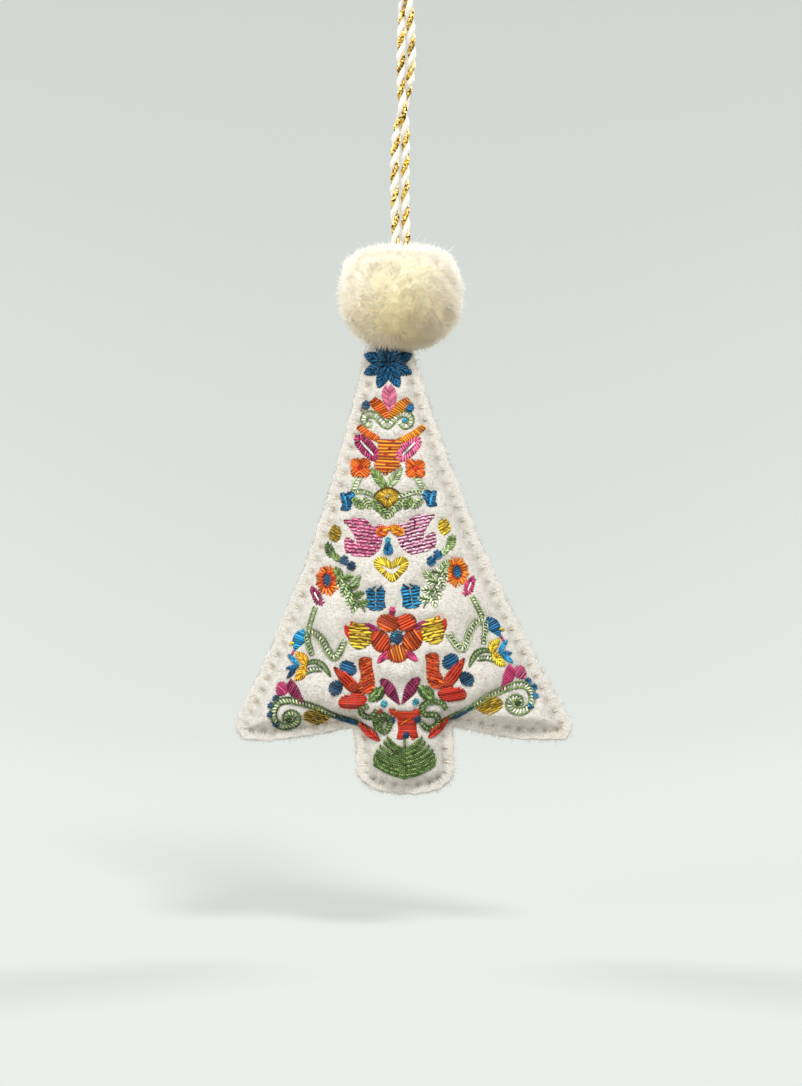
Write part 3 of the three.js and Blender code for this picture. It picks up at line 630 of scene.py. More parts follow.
def frame_of(line, pitch, width, shares):
    """Points spaced along a line with their direction, the one square to it, and half the width at each."""
    middle, run = spaced(line, pitch)
    along = unit(np.gradient(middle, axis=0))
    half = width / 2 * np.interp(run, np.linspace(0, 1, len(shares)), shares)
    return middle, along, square_to(along), half[:, None]


def across(line, width, shares=EVEN, lean=0.0, pitch=STITCH_PITCH):
    """Stitches across a line: centre -+ width/2 times its square, turned by the lean angle."""
    middle, along, square, half = frame_of(line, pitch, width, shares)
    reach = (square * math.cos(lean) + along * math.sin(lean)) * half
    return np.stack([middle - reach, middle + reach], axis=1)


def bent(start, end, bend):
    """A curve from start to end, its middle moved sideways by a share of its length."""
    start, end = np.array(start, float), np.array(end, float)
    side = np.array([start[1] - end[1], end[0] - start[0]]) * bend
    return through(start, (start + end) / 2 + side, end)


def leaf(start, end, width, shares=LEAF, bend=0.0, lean=0.5):
    """Stitches across a leaf from start to end."""
    return across(bent(start, end, bend), width, shares, lean)


def veined(start, end, width, bend=0.0, slant=0.3, pitch=STITCH_PITCH, shares=LEAF):
    """A leaf or petal in two halves: stitches from the vein out to each edge, slanting on towards the tip."""
    vein, _, square, half = frame_of(bent(start, end, bend), pitch / 3, width, shares)
    skip = max(1, int(slant * len(vein)))
    return np.concatenate([between(vein[:-skip], (vein + side * square * half)[skip:], pitch)
                           for side in (-1, 1)])


def ribbon(line, width, fill_dye, edge_dye, shares=EVEN, lean=0.35):
    """A ladder-stitched ribbon with a line of stem stitch along each of its edges."""
    middle, _, square, half = frame_of(line, 1.0, width, shares)
    return [(fill_dye, across(line, width * 0.9, shares, lean, 3.3), 0.9),
            *[(edge_dye, stem(middle + side * square * half * 0.95, 3.2, 0.45), 0.7) for side in (-1, 1)]]


def between(first, second, pitch=STITCH_PITCH):
    """Stitches from each point of one line to the same share of another, as many as the longer one needs."""
    runs = [run_along(line) for line in (first, second)]
    share = np.linspace(0, 1, max(3, int(max(run[-1] for run in runs) / pitch) + 1))
    ends = [read_line(line, run, share * run[-1]) for line, run in zip((first, second), runs)]
    return np.stack(ends, axis=1)


def ellipse(middle, across_radius, up_radius, turn=0.0, steps=32):
    """A closed ellipse, turned about its middle."""
    a = np.linspace(0, 2 * math.pi, steps + 1)
    x, y = across_radius * np.cos(a), up_radius * np.sin(a)
    return np.stack([middle[0] + x * math.cos(turn) - y * math.sin(turn),
                     middle[1] + x * math.sin(turn) + y * math.cos(turn)], axis=1)


def fill(outline, turn=0.0, pitch=STITCH_PITCH, length=None, wave=0.0):
    """Parallel stitches cut to an outline at every crossing, and to a stitch length where one is given."""
    spin = np.array([[math.cos(turn), -math.sin(turn)], [math.sin(turn), math.cos(turn)]])
    shape = np.vstack([outline, outline[:1]]) @ spin
    low, high = shape[:, 1].min(), shape[:, 1].max()
    stitches = []
    for row, y in enumerate(np.arange(low + pitch * 0.4, high, pitch)):
        y0, y1 = shape[:-1, 1], shape[1:, 1]
        cut = (y0 <= y) != (y1 <= y)
        x = np.sort(shape[:-1, 0][cut] + (y - y0[cut]) / (y1 - y0)[cut] * np.diff(shape[:, 0])[cut])
        for left, right in zip(x[::2], x[1::2]):
            marks = [left, right]
            if length:
                start = left + length * ((row * 0.41) % 1) + 0.2 * length
                marks = [left, *np.arange(start, right - 1, length), right]
            for a, b in zip(marks, marks[1:]):
                stitches.append([[a, y + wave * math.sin(a)], [b, y + wave * math.sin(b + 1)]])
    return np.array(stitches).reshape(-1, 2, 2) @ spin.T


def dot(x, y, radius):
    """A small round of parallel stitches."""
    return fill(ellipse((x, y), radius, radius, steps=16), 0.4)


def stem(line, length=4.5, side=0.9):
    """Stem stitch: short stitches along a line, each leaning over the one before."""
    points, _ = spaced(line, length)
    along = unit(np.diff(points, axis=0))
    square = square_to(along) * side
    return np.stack([points[:-1] - along - square, points[1:] + along + square], axis=1)


def ring(line, width, lean=0.0):
    """Ladder stitches round a closed line."""
    return across(line, width, (1.0, 1.0), lean)


def frond(side, reach, y):
    """Half of one of the fern's rows, from its middle out and up."""
    return through((404.6, y + 12.5), (404.5 + side * reach * 0.5, y + 8.5), (404.5 + side * reach, y))


DOVE = through(
    (344, 519.5), (353, 518), (361.5, 517.4), (368, 520), (373.5, 524.8), (379.7, 522.6), (384.3, 526.6),
    (383.2, 533), (382, 540), (381, 545), (377.2, 550), (370, 555.2), (361.5, 555.4), (351.5, 553),
    (345.7, 550.6), (344.4, 541), (347.4, 536), (351.5, 538.8), (357.2, 541), (355, 536), (352.3, 530.5),
    (348.2, 525), closed=True)
TULIP_CUP = through(
    (350, 622), (357, 620.5), (364, 621.5), (371, 626), (372.8, 635), (369, 643.5), (360, 646.5), (352, 644),
    (349, 637), (348.2, 629), closed=True)
SQUARE_HALVES = (
    np.array([(365.5, 588.5), (370, 586), (375.6, 589), (375.6, 608.8), (366.5, 606.5), (367.5, 597.5)]),
    np.array([(376, 589), (381, 585.5), (386, 588), (384.5, 597), (386.5, 606), (376, 608.8)]))
BELL = through(
    (375, 437), (389, 439.5), (404, 437), (401.5, 445), (398.5, 452), (400, 460), (401, 466), (393, 470.5),
    (385.5, 474), (378.5, 470), (373, 466), (376, 458), (377.5, 451), (377, 444), closed=True)
EYE = through((374, 496), (380, 489), (388, 486.5), (396, 489), (402, 496), (395, 502), (388, 508),
              (381, 502), closed=True)
HEART = through(
    (392.7, 580.5), (384, 574), (375.5, 566), (374, 559.5), (378.5, 555.3), (385.5, 555.8), (391.5, 560.5),
    (397, 555.8), (403, 554.8), (408.3, 558.5), (407.5, 566), (400.5, 574), closed=True)
HEART_SLIT = through(
    (391.5, 572), (386.5, 569.5), (382.5, 565), (383.5, 563.3), (387.5, 565.8), (391.5, 567), (395, 565.8),
    (399, 563.2), (400.5, 564.5), (397, 569), closed=True)
TULIP_BLUE = np.array([
    (340, 491.5), (345, 492.5), (350, 491.5), (355.5, 491.5), (354.8, 499), (352, 504), (351.5, 509),
    (346, 511), (340.5, 509.5), (342, 503), (340.5, 498)])
BELL_BRIM = through(
    (388, 707), (397, 707), (406, 708.5), (415, 707), (422.5, 707.5), (421.5, 713), (414, 715), (397, 715),
    (389.5, 712.5), closed=True)
BELL_SKIRT = np.array([
    (394, 712), (418.5, 712), (416.5, 718), (417.5, 728), (418.5, 736.5), (412, 738), (407.5, 732.5),
    (403, 738.5), (396.5, 738), (397.5, 728), (396.5, 718)])
RED_PETAL_LEFT = through(
    (334, 665), (342, 667.5), (351, 674), (357.5, 681), (361.5, 690.5), (353, 691), (344.5, 685),
    (338, 675.5), closed=True)
RED_PETAL_RIGHT = through(
    (360, 656), (366, 654.5), (371.5, 656), (372.5, 664), (374.5, 674), (375, 684), (370, 690),
    (361.5, 691.5), (358.5, 684), (361, 673), (359, 664), closed=True)
RED_CUP = through(
    (338, 700), (342, 694), (352, 691.5), (363, 692), (368, 697), (362, 704.5), (350, 706), (341, 705),
    closed=True)
SCROLL_BERRY = through(
    (303, 716), (308, 708.5), (316.5, 706), (325.5, 710.5), (330, 716.5), (323, 723), (312, 724.5),
    closed=True)
SCROLL_LINE = through(
    (374, 730.5), (357, 723.5), (337, 715.5), (317.5, 705.5), (298, 700.5), (288, 699.5), (279, 702),
    (273.8, 710.7), (275, 719.6), (281, 725.5), (289.8, 725.5), (296.5, 721), (297, 714.5), (291.5, 711.5),
    (286, 714.5), (286.5, 719.5))
OPEN_PETAL = ellipse((367.2, 447.5), 4.7, 14, -0.77)
RIM_PETAL = ellipse((282.3, 688), 6.6, 7.4, -0.3)

CROWN_ARMS = (((373, 400), (377, 404), (383, 411), (388, 417.5)),
              ((409, 400.5), (402.5, 405), (395.5, 411.5), (389.5, 417.5)))
STAR_RAYS = [[(388 + reach * math.cos(a), 364 + reach * math.sin(a)) for reach in (3, 25.5)]
             for a in np.radians((22, 64, 112, 158, 202, 248, 292, 338))]
ROSETTE_PETALS = (
    ("tangerine", (388, 620.5), 11.6, 9, 0.25, 0.45), ("scarlet", (406, 620), 11, 8.8, -0.3, -0.45),
    ("scarlet", (380.8, 639), 9.8, 11.8, -0.35, -0.95), ("tangerine", (412.5, 637.5), 10.2, 11.6, 0.35, 0.95),
    ("orange", (397.5, 651), 11.2, 9.6, 0, 1.3))
FERN_ROWS = ((17, 735.5), (20, 740), (24, 744.5), (27.5, 749), (29.5, 753.5), (30.5, 758), (30, 762.5))

# Each motif: its node, its thread's slot, and its layers of stitches as (dye, stitches), the lowest first.
# A dye given as a pair is that of the left and of the right motif. The left dye is mostly the darker one:
# that difference is painted shade on the left motifs and painted light on the right ones, as are the darker
# left halves of several single motifs. A third value is the thread's share of its full width.
single_motifs = {
    "crown_star": ("thread_blue", [
        *[("navy", veined(*ray, 12.5, slant=0.2)) for ray in STAR_RAYS],
        *[("blue", veined(*ray, 11.5, slant=0.25, pitch=3.3), 0.75) for ray in STAR_RAYS],
        ("navy", dot(388, 364, 4.5))]),
    "crown_bud": ("thread_pink", [
        ("pink", veined((390.5, 411), (388.5, 384.5), 15.5, shares=DROP, slant=0.2))]),
    "crown_leaves": ("thread_orange", [
        *[("rust", across(through(*arm), 12, (0.7, 1, 1, 0.8, 0.3), 0)) for arm in CROWN_ARMS],
        *[(dye, across(through(*arm), 12.5, (0.7, 1, 1, 0.8, 0.3), lean, 2.5), 0.95)
          for dye, lean, arm in zip(("tangerine", "orange"), (-0.25, 0.25), CROWN_ARMS)],
        ("navy", dot(366.2, 405, 4.4)), ("blue", dot(409.7, 407.3, 4.6))]),
    "ram_horns": ("thread_green", [
        *ribbon(through((371.5, 424), (366.5, 423.5), (363.8, 418.5), (368, 413.8), (376, 415.5),
                        (381.5, 421), (387, 425.5), (392, 421.5), (397, 415.5), (404, 413.8), (410.5, 417),
                        (410, 423.5), (405, 426), (400.5, 422.5)),
                6.4, "celadon", "leaf", lean=0),
        ("sky", dot(404.6, 420.5, 2.2))]),
    "bell_flower": ("thread_orange", [
        ("rust", fill(BELL, 0.03)), ("orange", fill(BELL, 0.03, pitch=3.3, length=30, wave=0.5), 1.1),
        ("tangerine", across(through((359.5, 427), (368, 433.5), (377.5, 438.5)), 7.5, EVEN, -0.2), 1.1),
        ("orange", across(through((423, 427), (413, 434.5), (401.5, 440)), 7.5, EVEN, 0.2), 1.1)]),
    "collar_leaves": ("thread_green", [
        ("leaf", veined((385.5, 487), (371.5, 467.5), 10, slant=0.2, pitch=2.4)),
        ("sage", veined((387.5, 487), (402, 467), 10, slant=0.2, pitch=2.4))]),
    "gold_eye": ("thread_gold", [
        ("umber", fill(ellipse((388, 496.5), 9, 7), 0.1)),
        ("gold", between(ellipse((388, 496), 4, 3.2), EYE, 2.4), 1.0),
        ("yellow", ring(ellipse((388, 496), 6.4, 5.2), 3, 0.4), 0.9),
        ("umber", stem(EYE, 3.6, 0.3), 0.7), ("umber", dot(388, 495.8, 3.6)),
        ("white", dot(388, 495.4, 1.9))]),
    "leaf_garland": ("thread_green", [
        *ribbon(through((355, 491.5), (362, 490.5), (370, 493), (377, 496)), 3.6, "white", "leaf"),
        *ribbon(through((399.5, 496), (406, 493), (414, 490.5), (422, 491)), 3.6, "white", "sage"),
        *[(dye, veined(base, tip, 8.5, slant=0.2, pitch=2.9)) for dye, base, tip in (
            ("leaf", (353.5, 498), (364, 507.5)), ("sage", (364, 497), (370.5, 508)),
            ("leaf", (373, 499), (380, 511)), ("leaf", (381, 506.5), (387, 517)),
            ("sage", (394, 506), (387.5, 517)), ("sage", (402.5, 498.5), (395, 510.5)),
            ("leaf", (411, 496.5), (404.5, 508)), ("sage", (422, 498), (411.5, 507)))]]),
    "gold_heart": ("thread_gold", [
        ("bronze", between(HEART_SLIT, HEART, 2.0)), ("yellow", between(HEART_SLIT, HEART, 3.0), 0.95),
        ("blue", veined((388.5, 553), (388, 539.5), 10, shares=DROP[::-1], slant=0.25)),
        ("teal", dot(388, 538.5, 3)),
        ("tangerine", veined((377, 533), (388.5, 526), 11.5)),
        ("orange", veined((404, 532.5), (389.5, 524.5), 10.5)),
        ("amber", stem(through((384, 529), (391, 526.5), (400, 527.5)), 3.5, 0.3))]),
    "great_rosette": ("thread_red", [
        ("magenta", leaf((392.5, 603), (392.5, 614), 7, lean=0)),
        ("plum", veined((379, 629), (363, 621.5), 7)), ("plum", veined((414, 626), (430, 618.5), 7)),
        ("magenta", veined((389, 649), (378, 660), 7)), ("magenta", veined((405.5, 648), (417, 658), 7)),
        *[("rust", fill(ellipse(middle, rx, ry, turn), stitched))
          for _, middle, rx, ry, turn, stitched in ROSETTE_PETALS],
        *[(dye, fill(ellipse(middle, rx - 0.6, ry - 0.6, turn), stitched, 2.9))
          for dye, middle, rx, ry, turn, stitched in ROSETTE_PETALS],
        ("navy", dot(396.6, 634.8, 7)), ("teal", dot(394.8, 632.6, 2.4))]),
    "leaf_pair": ("thread_pink", [
        ("wine", leaf((399, 701), (381.5, 677.5), 14, DROP, 0.03, 0.3)),
        ("wine", leaf((402.5, 700.5), (418.5, 676), 14, DROP, -0.03, -0.3)),
        ("plum", across(bent((399, 701), (382, 678), 0.03), 13, DROP, 0.3, 2.9), 0.85),
        ("plum", across(bent((402.5, 700.5), (418.5, 676.5), -0.03), 13, DROP, -0.3, 2.9), 0.85),
        # Painted highlight: the thin magenta line on the right leaf.
        ("magenta", stem(through((410, 688), (416.5, 679)), 3, 0.4), 0.5),
        ("moss", fill(ellipse((377, 692), 9, 6.4, -0.7), 0.5, length=6)),
        ("leaf", veined((369, 699), (384, 684.5), 8)),
        ("moss", fill(ellipse((426, 690.5), 9, 6.4, 0.7), -0.5, length=6)),
        ("leaf", veined((434.5, 698), (418, 682.5), 8)),
        ("teal", dot(384, 701.5, 3.4)), ("teal", dot(415.5, 699.5, 3.2)), ("red", dot(380.5, 708.5, 2))]),
    "skirt_bell": ("thread_red", [
        ("red", fill(BELL_SKIRT, 0.03, 1.9)), ("scarlet", fill(BELL_BRIM, 0.03, 1.9)),
        ("navy", dot(391.6, 718.6, 4)), ("navy", dot(417.5, 717.6, 4)), ("navy", dot(405.8, 733.5, 4)),
        ("orange", stem(through((401, 723), (405, 719), (410, 716)), 3.5, 0.3), 0.6),
        *ribbon(through((377.5, 728), (375.8, 719), (381, 712.5), (388.5, 716), (389.5, 725), (384, 731),
                        (378, 724), (383, 718)), 4.6, "leaf", "moss"),
        *ribbon(through((376, 708), (372, 714.5), (364.5, 714), (361, 707.5), (367.5, 703.5)),
                4.6, "leaf", "moss"),
        *ribbon(through((421.5, 722), (428, 727.5), (437.5, 722.5), (435, 713), (425, 712), (422, 704),
                        (430, 699.5), (440, 700.5), (446, 706)), 5.2, "leaf", "moss")]),
    "trunk_fern": ("thread_green", [
        *[("leaf", across(frond(side, reach, y), 2.9, (1, 1, 0.95, 0.85, 0.4), 0.6 * side, 2.2), 0.9)
          for side in (-1, 1) for reach, y in FERN_ROWS],
        # The moss lines just below each row are partly real stem stitch and partly painted shadow under the
        # rows.
        *[("moss", stem(frond(side, reach, y + 2.2), 3, 0.3), 0.95)
          for side in (-1, 1) for reach, y in FERN_ROWS],
        ("moss", stem(through((404.7, 737), (404.7, 776)), 3.4, 0.5))]),
}
paired_motifs = {
    "open_petal": ("thread_pink", [
        (("wine", "magenta"), ring(OPEN_PETAL, 6.6)),
        (("magenta", "pink"), across(OPEN_PETAL, 6.8, (1, 1), 0.5, 2.8), 0.85),
        (("pink", "rose"), across(OPEN_PETAL, 5, (1, 1), 0.5, 5.6), 0.5),
        ("white", stem(through((361, 441), (373.5, 454)), 3, 0.6))]),
    "small_flower": ("thread_orange", [
        *ribbon(through((360.5, 476), (356.5, 483.5), (353.5, 491)), 5.4, "celadon", "sage"),
        ("red", fill(ellipse((360.8, 467), 6, 6, steps=16), 0.8)),
        *[("tangerine", fill(ellipse((360.8 + 4.6 * x, 467.3 + 4.7 * y), 5.3, 5.1), 0.75 * x * y), 1.1)
          for x in (-1, 1) for y in (-1, 1)],
        ("rust", dot(360.8, 467.3, 2.6))]),
    "blue_tulip": ("thread_blue", [
        ("navy", fill(TULIP_BLUE, 0.1)), ("blue", fill(TULIP_BLUE, 0.1, 3.2, 9, 0.5), 1.0),
        ("sky", stem(through((343, 493), (346, 499), (348, 508)), 4)),
        ("sky", stem(through((353.5, 493.5), (350.5, 498.5)), 4))]),
    "dove": ("thread_pink", [
        ("plum", fill(DOVE, 0.06, length=8)),
        (("pink", "rose"), fill(DOVE, 0.08, pitch=3.5, length=5.5, wave=0.6), 1.15),
        # Painted highlight: this paler top layer stands for the glints on the brick stitch.
        (("rose", "blush"), fill(DOVE, 0.08, pitch=3.5, length=4.2, wave=0.6), 0.65)]),
    "gold_bud": ("thread_gold", [
        (("moss", "leaf"), ring(ellipse((330, 549.5), 2.6, 6.5, -0.35), 4.6)),
        (("leaf", "sage"), veined((340, 560), (332.5, 552), 7)),
        (("bronze", "gold"), fill(ellipse((335.5, 533.2), 6, 8.4, 0.1), 0.5)),
        (("gold", "yellow"), fill(ellipse((335.5, 533.2), 6.2, 8.6, 0.1), 0.5, 3.2, 6, 0.5), 0.95),
        (("navy", "blue"), dot(344.5, 559.5, 4.8)), (("navy", "blue"), dot(351.7, 564.8, 4.8))]),
    "side_daisy": ("thread_orange", [
        (("scarlet", "tangerine"), across(ellipse((328, 579.5), 8, 11), 10, (1, 0.6) * 9 + (1,))),
        ("orange", across(ellipse((328, 579.5), 8.6, 11.6), 8.5, (1, 0.6) * 9 + (1,), 0.25, 3.4), 0.9),
        (("navy", "blue"), fill(ellipse((327.6, 579.2), 4.2, 6.4), 0.4)),
        ("rust", stem(ellipse((327.6, 579.2), 4.8, 7), 3.4, 0.3), 0.5)]),
    "leaf_spray": ("thread_green", [
        *[(("leaf", "celadon"), veined((x, y), (x + 11, y - 4.5), 8.5, pitch=3.2))
          for x, y in ((343, 578.5), (348.5, 587), (353.5, 595), (359, 603))],
        *[(("sage", "celadon"), veined((x, y), (x - 4, y + 12.5), 8.5, pitch=3.2))
          for x, y in ((342.5, 574), (346.5, 582.5), (351.5, 591), (356.5, 598))],
        (("leaf", "sage"), veined((342, 577), (335.5, 566), 9)),
        ("sage", veined((351, 584), (361, 574), 7, pitch=2.5)),
        *[("moss", stem(np.array(line, float), 3.4, 0.3), 0.7) for line in (
            ((338.5, 570), (352, 590)), ((352, 590), (365, 609)), ((343, 578.5), (352, 575)),
            ((348.5, 587), (357.5, 583.5)), ((353.5, 595), (362, 591.5)), ((359, 603), (368, 599)),
            ((346.5, 582.5), (343.5, 591.5)), ((351.5, 591), (348.5, 600)), ((342.5, 574), (339, 583)),
            ((356.5, 598), (353.5, 607)))]]),
    "pink_diamond": ("thread_pink", [
        (("plum", "magenta"), ring(np.array([(312, 588.5), (318.5, 591.5), (323, 602.5), (316.5, 600.5),
                                             (312, 588.5)]), 6, 0.5)),
        ("white", stem(through((315, 592.5), (319.5, 599.5)), 3, 0.6), 0.8)]),
    "blue_square": ("thread_blue", [
        *[("navy", fill(column, 0.06)) for column in SQUARE_HALVES],
        *[(("blue", "sky"), fill(column, 0.06, pitch=3.4, wave=0.4), 1.0) for column in SQUARE_HALVES],
        # Painted highlight: the narrow sky stitches on top stand for glints on the blue.
        *[("sky", fill(column, 0.06, pitch=3.4, length=6, wave=0.4), 0.5) for column in SQUARE_HALVES],
        ("navy", stem(through((371, 588), (374.5, 584)), 4)),
        ("navy", stem(through((378, 588), (381, 583.5)), 4))]),
    "yellow_tulip": ("thread_yellow", [
        ("red", veined((353, 637), (345.5, 623), 8)), ("scarlet", veined((358, 632), (351.5, 619), 7)),
        ("gold", fill(TULIP_CUP, 0.12)),
        ("yellow", fill(TULIP_CUP, 0.12, pitch=3.3, length=14, wave=0.6), 1.05),
        ("umber", fill(TULIP_CUP, 0.12, pitch=4.9, length=8, wave=0.6), 0.6)]),
    "skirt_vine": ("thread_green", [
        *ribbon(through((316, 606), (312, 618), (308.5, 630)), 4, "celadon", "leaf"),
        *ribbon(through((307.5, 631.5), (309, 642), (313, 653)), 4.6, "celadon", ("leaf", "sage")),
        *ribbon(through((307.5, 629.5), (317, 632), (324.5, 640), (328.5, 648.5), (334, 655), (340, 649.5),
                        (344.5, 638.5)), 6.4, "celadon", ("leaf", "sage"), (0.7, 1, 1, 0.9, 0.8))]),
    "outer_flower": ("thread_blue", [
        ("magenta", stem(through((294.5, 649), (290.5, 657.5)), 3, 0.3)),
        (("blue", "navy"), leaf((305.5, 630), (295, 649.5), 14.5, BUD, 0.05, 0.2)),
        (("sky", "blue"), across(bent((305.5, 630), (295, 649.5), 0.05), 14.5, BUD, 0.2, 2.6), 1.0),
        ("yellow", leaf((294, 640.5), (289.5, 645.5), 3.8))]),
    "yellow_bud": ("thread_gold", [
        *ribbon(through((306, 663.5), (314.3, 659.8), (323, 663), (331, 673.5)), 5, "leaf", "moss", LEAF),
        *ribbon(through((304, 673), (311, 668.5), (321, 667.5)), 4.2, "white", "leaf"),
        (("amber", "yellow"), veined((308, 664), (296, 652), 9, 0.1)),
        (("amber", "yellow"), veined((306, 664), (295.5, 679), 9.5, -0.1)),
        ("gold", veined((306, 663), (299, 671), 5)), ("sky", veined((299, 665), (288.5, 654), 4.2)),
        ("blue", veined((298.5, 666), (286.5, 667.5), 4.2)),
        (("navy", "sky"), veined((296, 667.5), (287.5, 677), 4.5))]),
    "red_tulip": ("thread_red", [
        ("navy", fill(ellipse((348.5, 666), 10, 7.2, 0.5), 0.35)),
        ("blue", fill(ellipse((348, 665.5), 9, 6, 0.5), 0.35, 3), 0.9),
        ("rust", fill(RED_PETAL_LEFT, -0.6)), ("red", fill(RED_PETAL_LEFT, 0.75, 3.0), 1.0),
        ("rust", fill(RED_PETAL_RIGHT, 0.3)), ("scarlet", fill(RED_PETAL_RIGHT, -0.5, 3.0), 1.0),
        # Painted highlight: the sparse orange stitches on the right petal stand for its highlights.
        ("orange", fill(RED_PETAL_RIGHT, -0.5, 6.0, 9), 0.5),
        ("red", fill(RED_CUP, 0.06, 1.9)), ("navy", dot(336, 685.5, 7.4))]),
    "rim_flower": ("thread_pink", [
        (("plum", "magenta"), fill(RIM_PETAL, 0.7)),
        (("magenta", "pink"), fill(RIM_PETAL, 0.7, 3.0), 0.9),
        (("plum", "magenta"), across(through((289, 682.5), (294, 689), (304.5, 702)), 14,
                                     (0.8, 1, 0.9, 0.55, 0.15), 0.4)),
        *[(("navy", "blue"), dot(*spot, 3.5))
          for spot in ((276, 698), (271, 705), (270.3, 714), (276, 723.5))]]),
    "skirt_scroll": ("thread_green", [
        ("bronze", fill(ellipse((316.5, 715.5), 11, 7, 0.1), 0.25)),
        ("gold", fill(SCROLL_BERRY, 0.25, 2.3, 9, 0.5)),
        *ribbon(SCROLL_LINE, 6.6, ("sage", "celadon"), ("moss", "leaf"), (0.4, 0.6, 0.8, 0.9, 1, 1, 1, 0.9)),
        ("moss", dot(288.5, 717.5, 3.4)),
        ("navy", veined((358, 725), (333, 714), 5)), ("red", veined((380, 740), (358, 722.5), 9.5))]),
}


# The tree's two felt panels are cut alike from warm white wool-blend felt and sewn edge to edge over the
# filling. The front puffs up between the motifs, which hold it down, and both pucker along the seam.
TREE_HEIGHT = 134.8 * MM
SKIRT_HALF_WIDTH = 47.5 * MM
TIP_HALF_WIDTH = 5 * MM
TIP_ROUND = 4.6 * MM
TIP_SPINE_DROP = 6.8 * MM
SKIRT_CORNER_RADIUS = 3.3 * MM
SKIRT_CORNER_HEIGHT = 19 * MM
CROTCH_HEIGHT = 19.4 * MM
CROTCH_FILLET = 1.2 * MM
SKIRT_HEM_DIP = 4.2 * MM
HEM_DIP_SHARE = 0.48
TRUNK_HALF_WIDTH = 13.5 * MM
TRUNK_CORNER_RADIUS = 3.2 * MM
TRUNK_SAG = 2.9 * MM
SIDE_UPPER_SHARES = (0.421, 0.556)
SIDE_LOWER_SHARES = (0.632, 0.401)
SKIRT_SPINE_SHARE = 0.2225
HEM_SPINE_SHARE = 0.2
TRUNK_SPINE_SHARES = (0.15, 0.06)
FOOT_SPINE_SHARE = 0.045
TIP_OFFSET = -3.7 * MM
LEAN_SHARE = 0.0385
PLUMPNESS = 11 * MM
BULGE_SHARPNESS = 0.65
PLUMP_SHARES = ((0, 0.4), (0.12, 0.5), (0.18, 0.72), (0.24, 0.95), (0.33, 1), (0.52, 0.85), (0.7, 0.62),
                (0.85, 0.42), (1, 0.26))
FELT_THICKNESS = 1.2 * MM
SEAM_GAP = 0.3 * MM
SEAM_MARGIN = 2.8 * MM
STITCH_SPACING = 3.7 * MM
STITCH_BITE = 2.4 * MM
EDGE_STEP = 0.5 * MM
FELT_STEP = 0.6 * MM
RASTER_STEP = 0.3 * MM
RASTER_MARGIN = 6 * MM
DRIFT_SHARE = 0.038
DRIFT_SPAN_SHARES = (0.22, 0.93)
TILT_SHARES = (0.068, -0.03)
TILT_SPAN_SHARES = (0.56, 0.74)
EDGE_ROWS = 7
EDGE_ROUNDING = 0.42 * MM
SCALLOP = 0.34 * MM
EDGE_WANDER = 0.18 * MM
PUCKER = 0.22 * MM
FILLING_LUMP = 0.4 * MM
FELT_LUMP = 0.09 * MM
PUFF = 3.0 * MM
PUFF_DENSITY = 0.36
STITCH_HOLLOW = 0.7 * MM
HOLE_DENT = 0.45 * MM
HOLE_RADIUS = 0.85 * MM
SEAM_PINCH = 0.15 * MM
SEAM_PINCH_WIDTH = 1.3 * MM
tree_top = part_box("front_felt")[1][2]
tree_foot = tree_top - TREE_HEIGHT


def bezier(points, steps):
    """The Bernstein sum of the points."""
    t = np.linspace(0, 1, steps)[:, None]
    degree = len(points) - 1
    return sum(math.comb(degree, k) * (1 - t) ** (degree - k) * t ** k * np.array(p)
               for k, p in enumerate(points))


def arc(middle, radius, start, end, steps, squash=1.0):
    """middle + radius (cos a, squash sin a), angles in degrees."""
    a = np.radians(np.linspace(start, end, steps))
    return np.stack([middle[0] + radius * np.cos(a), middle[1] + radius * squash * np.sin(a)], axis=1)


def with_spine(line, start, end, power=1.0):
    """A line with the height of the ridge that each of its points slopes up to."""
    share = np.linspace(0, 1, len(line)) ** power
    return np.column_stack([line, mix(start, end, share) * TREE_HEIGHT])


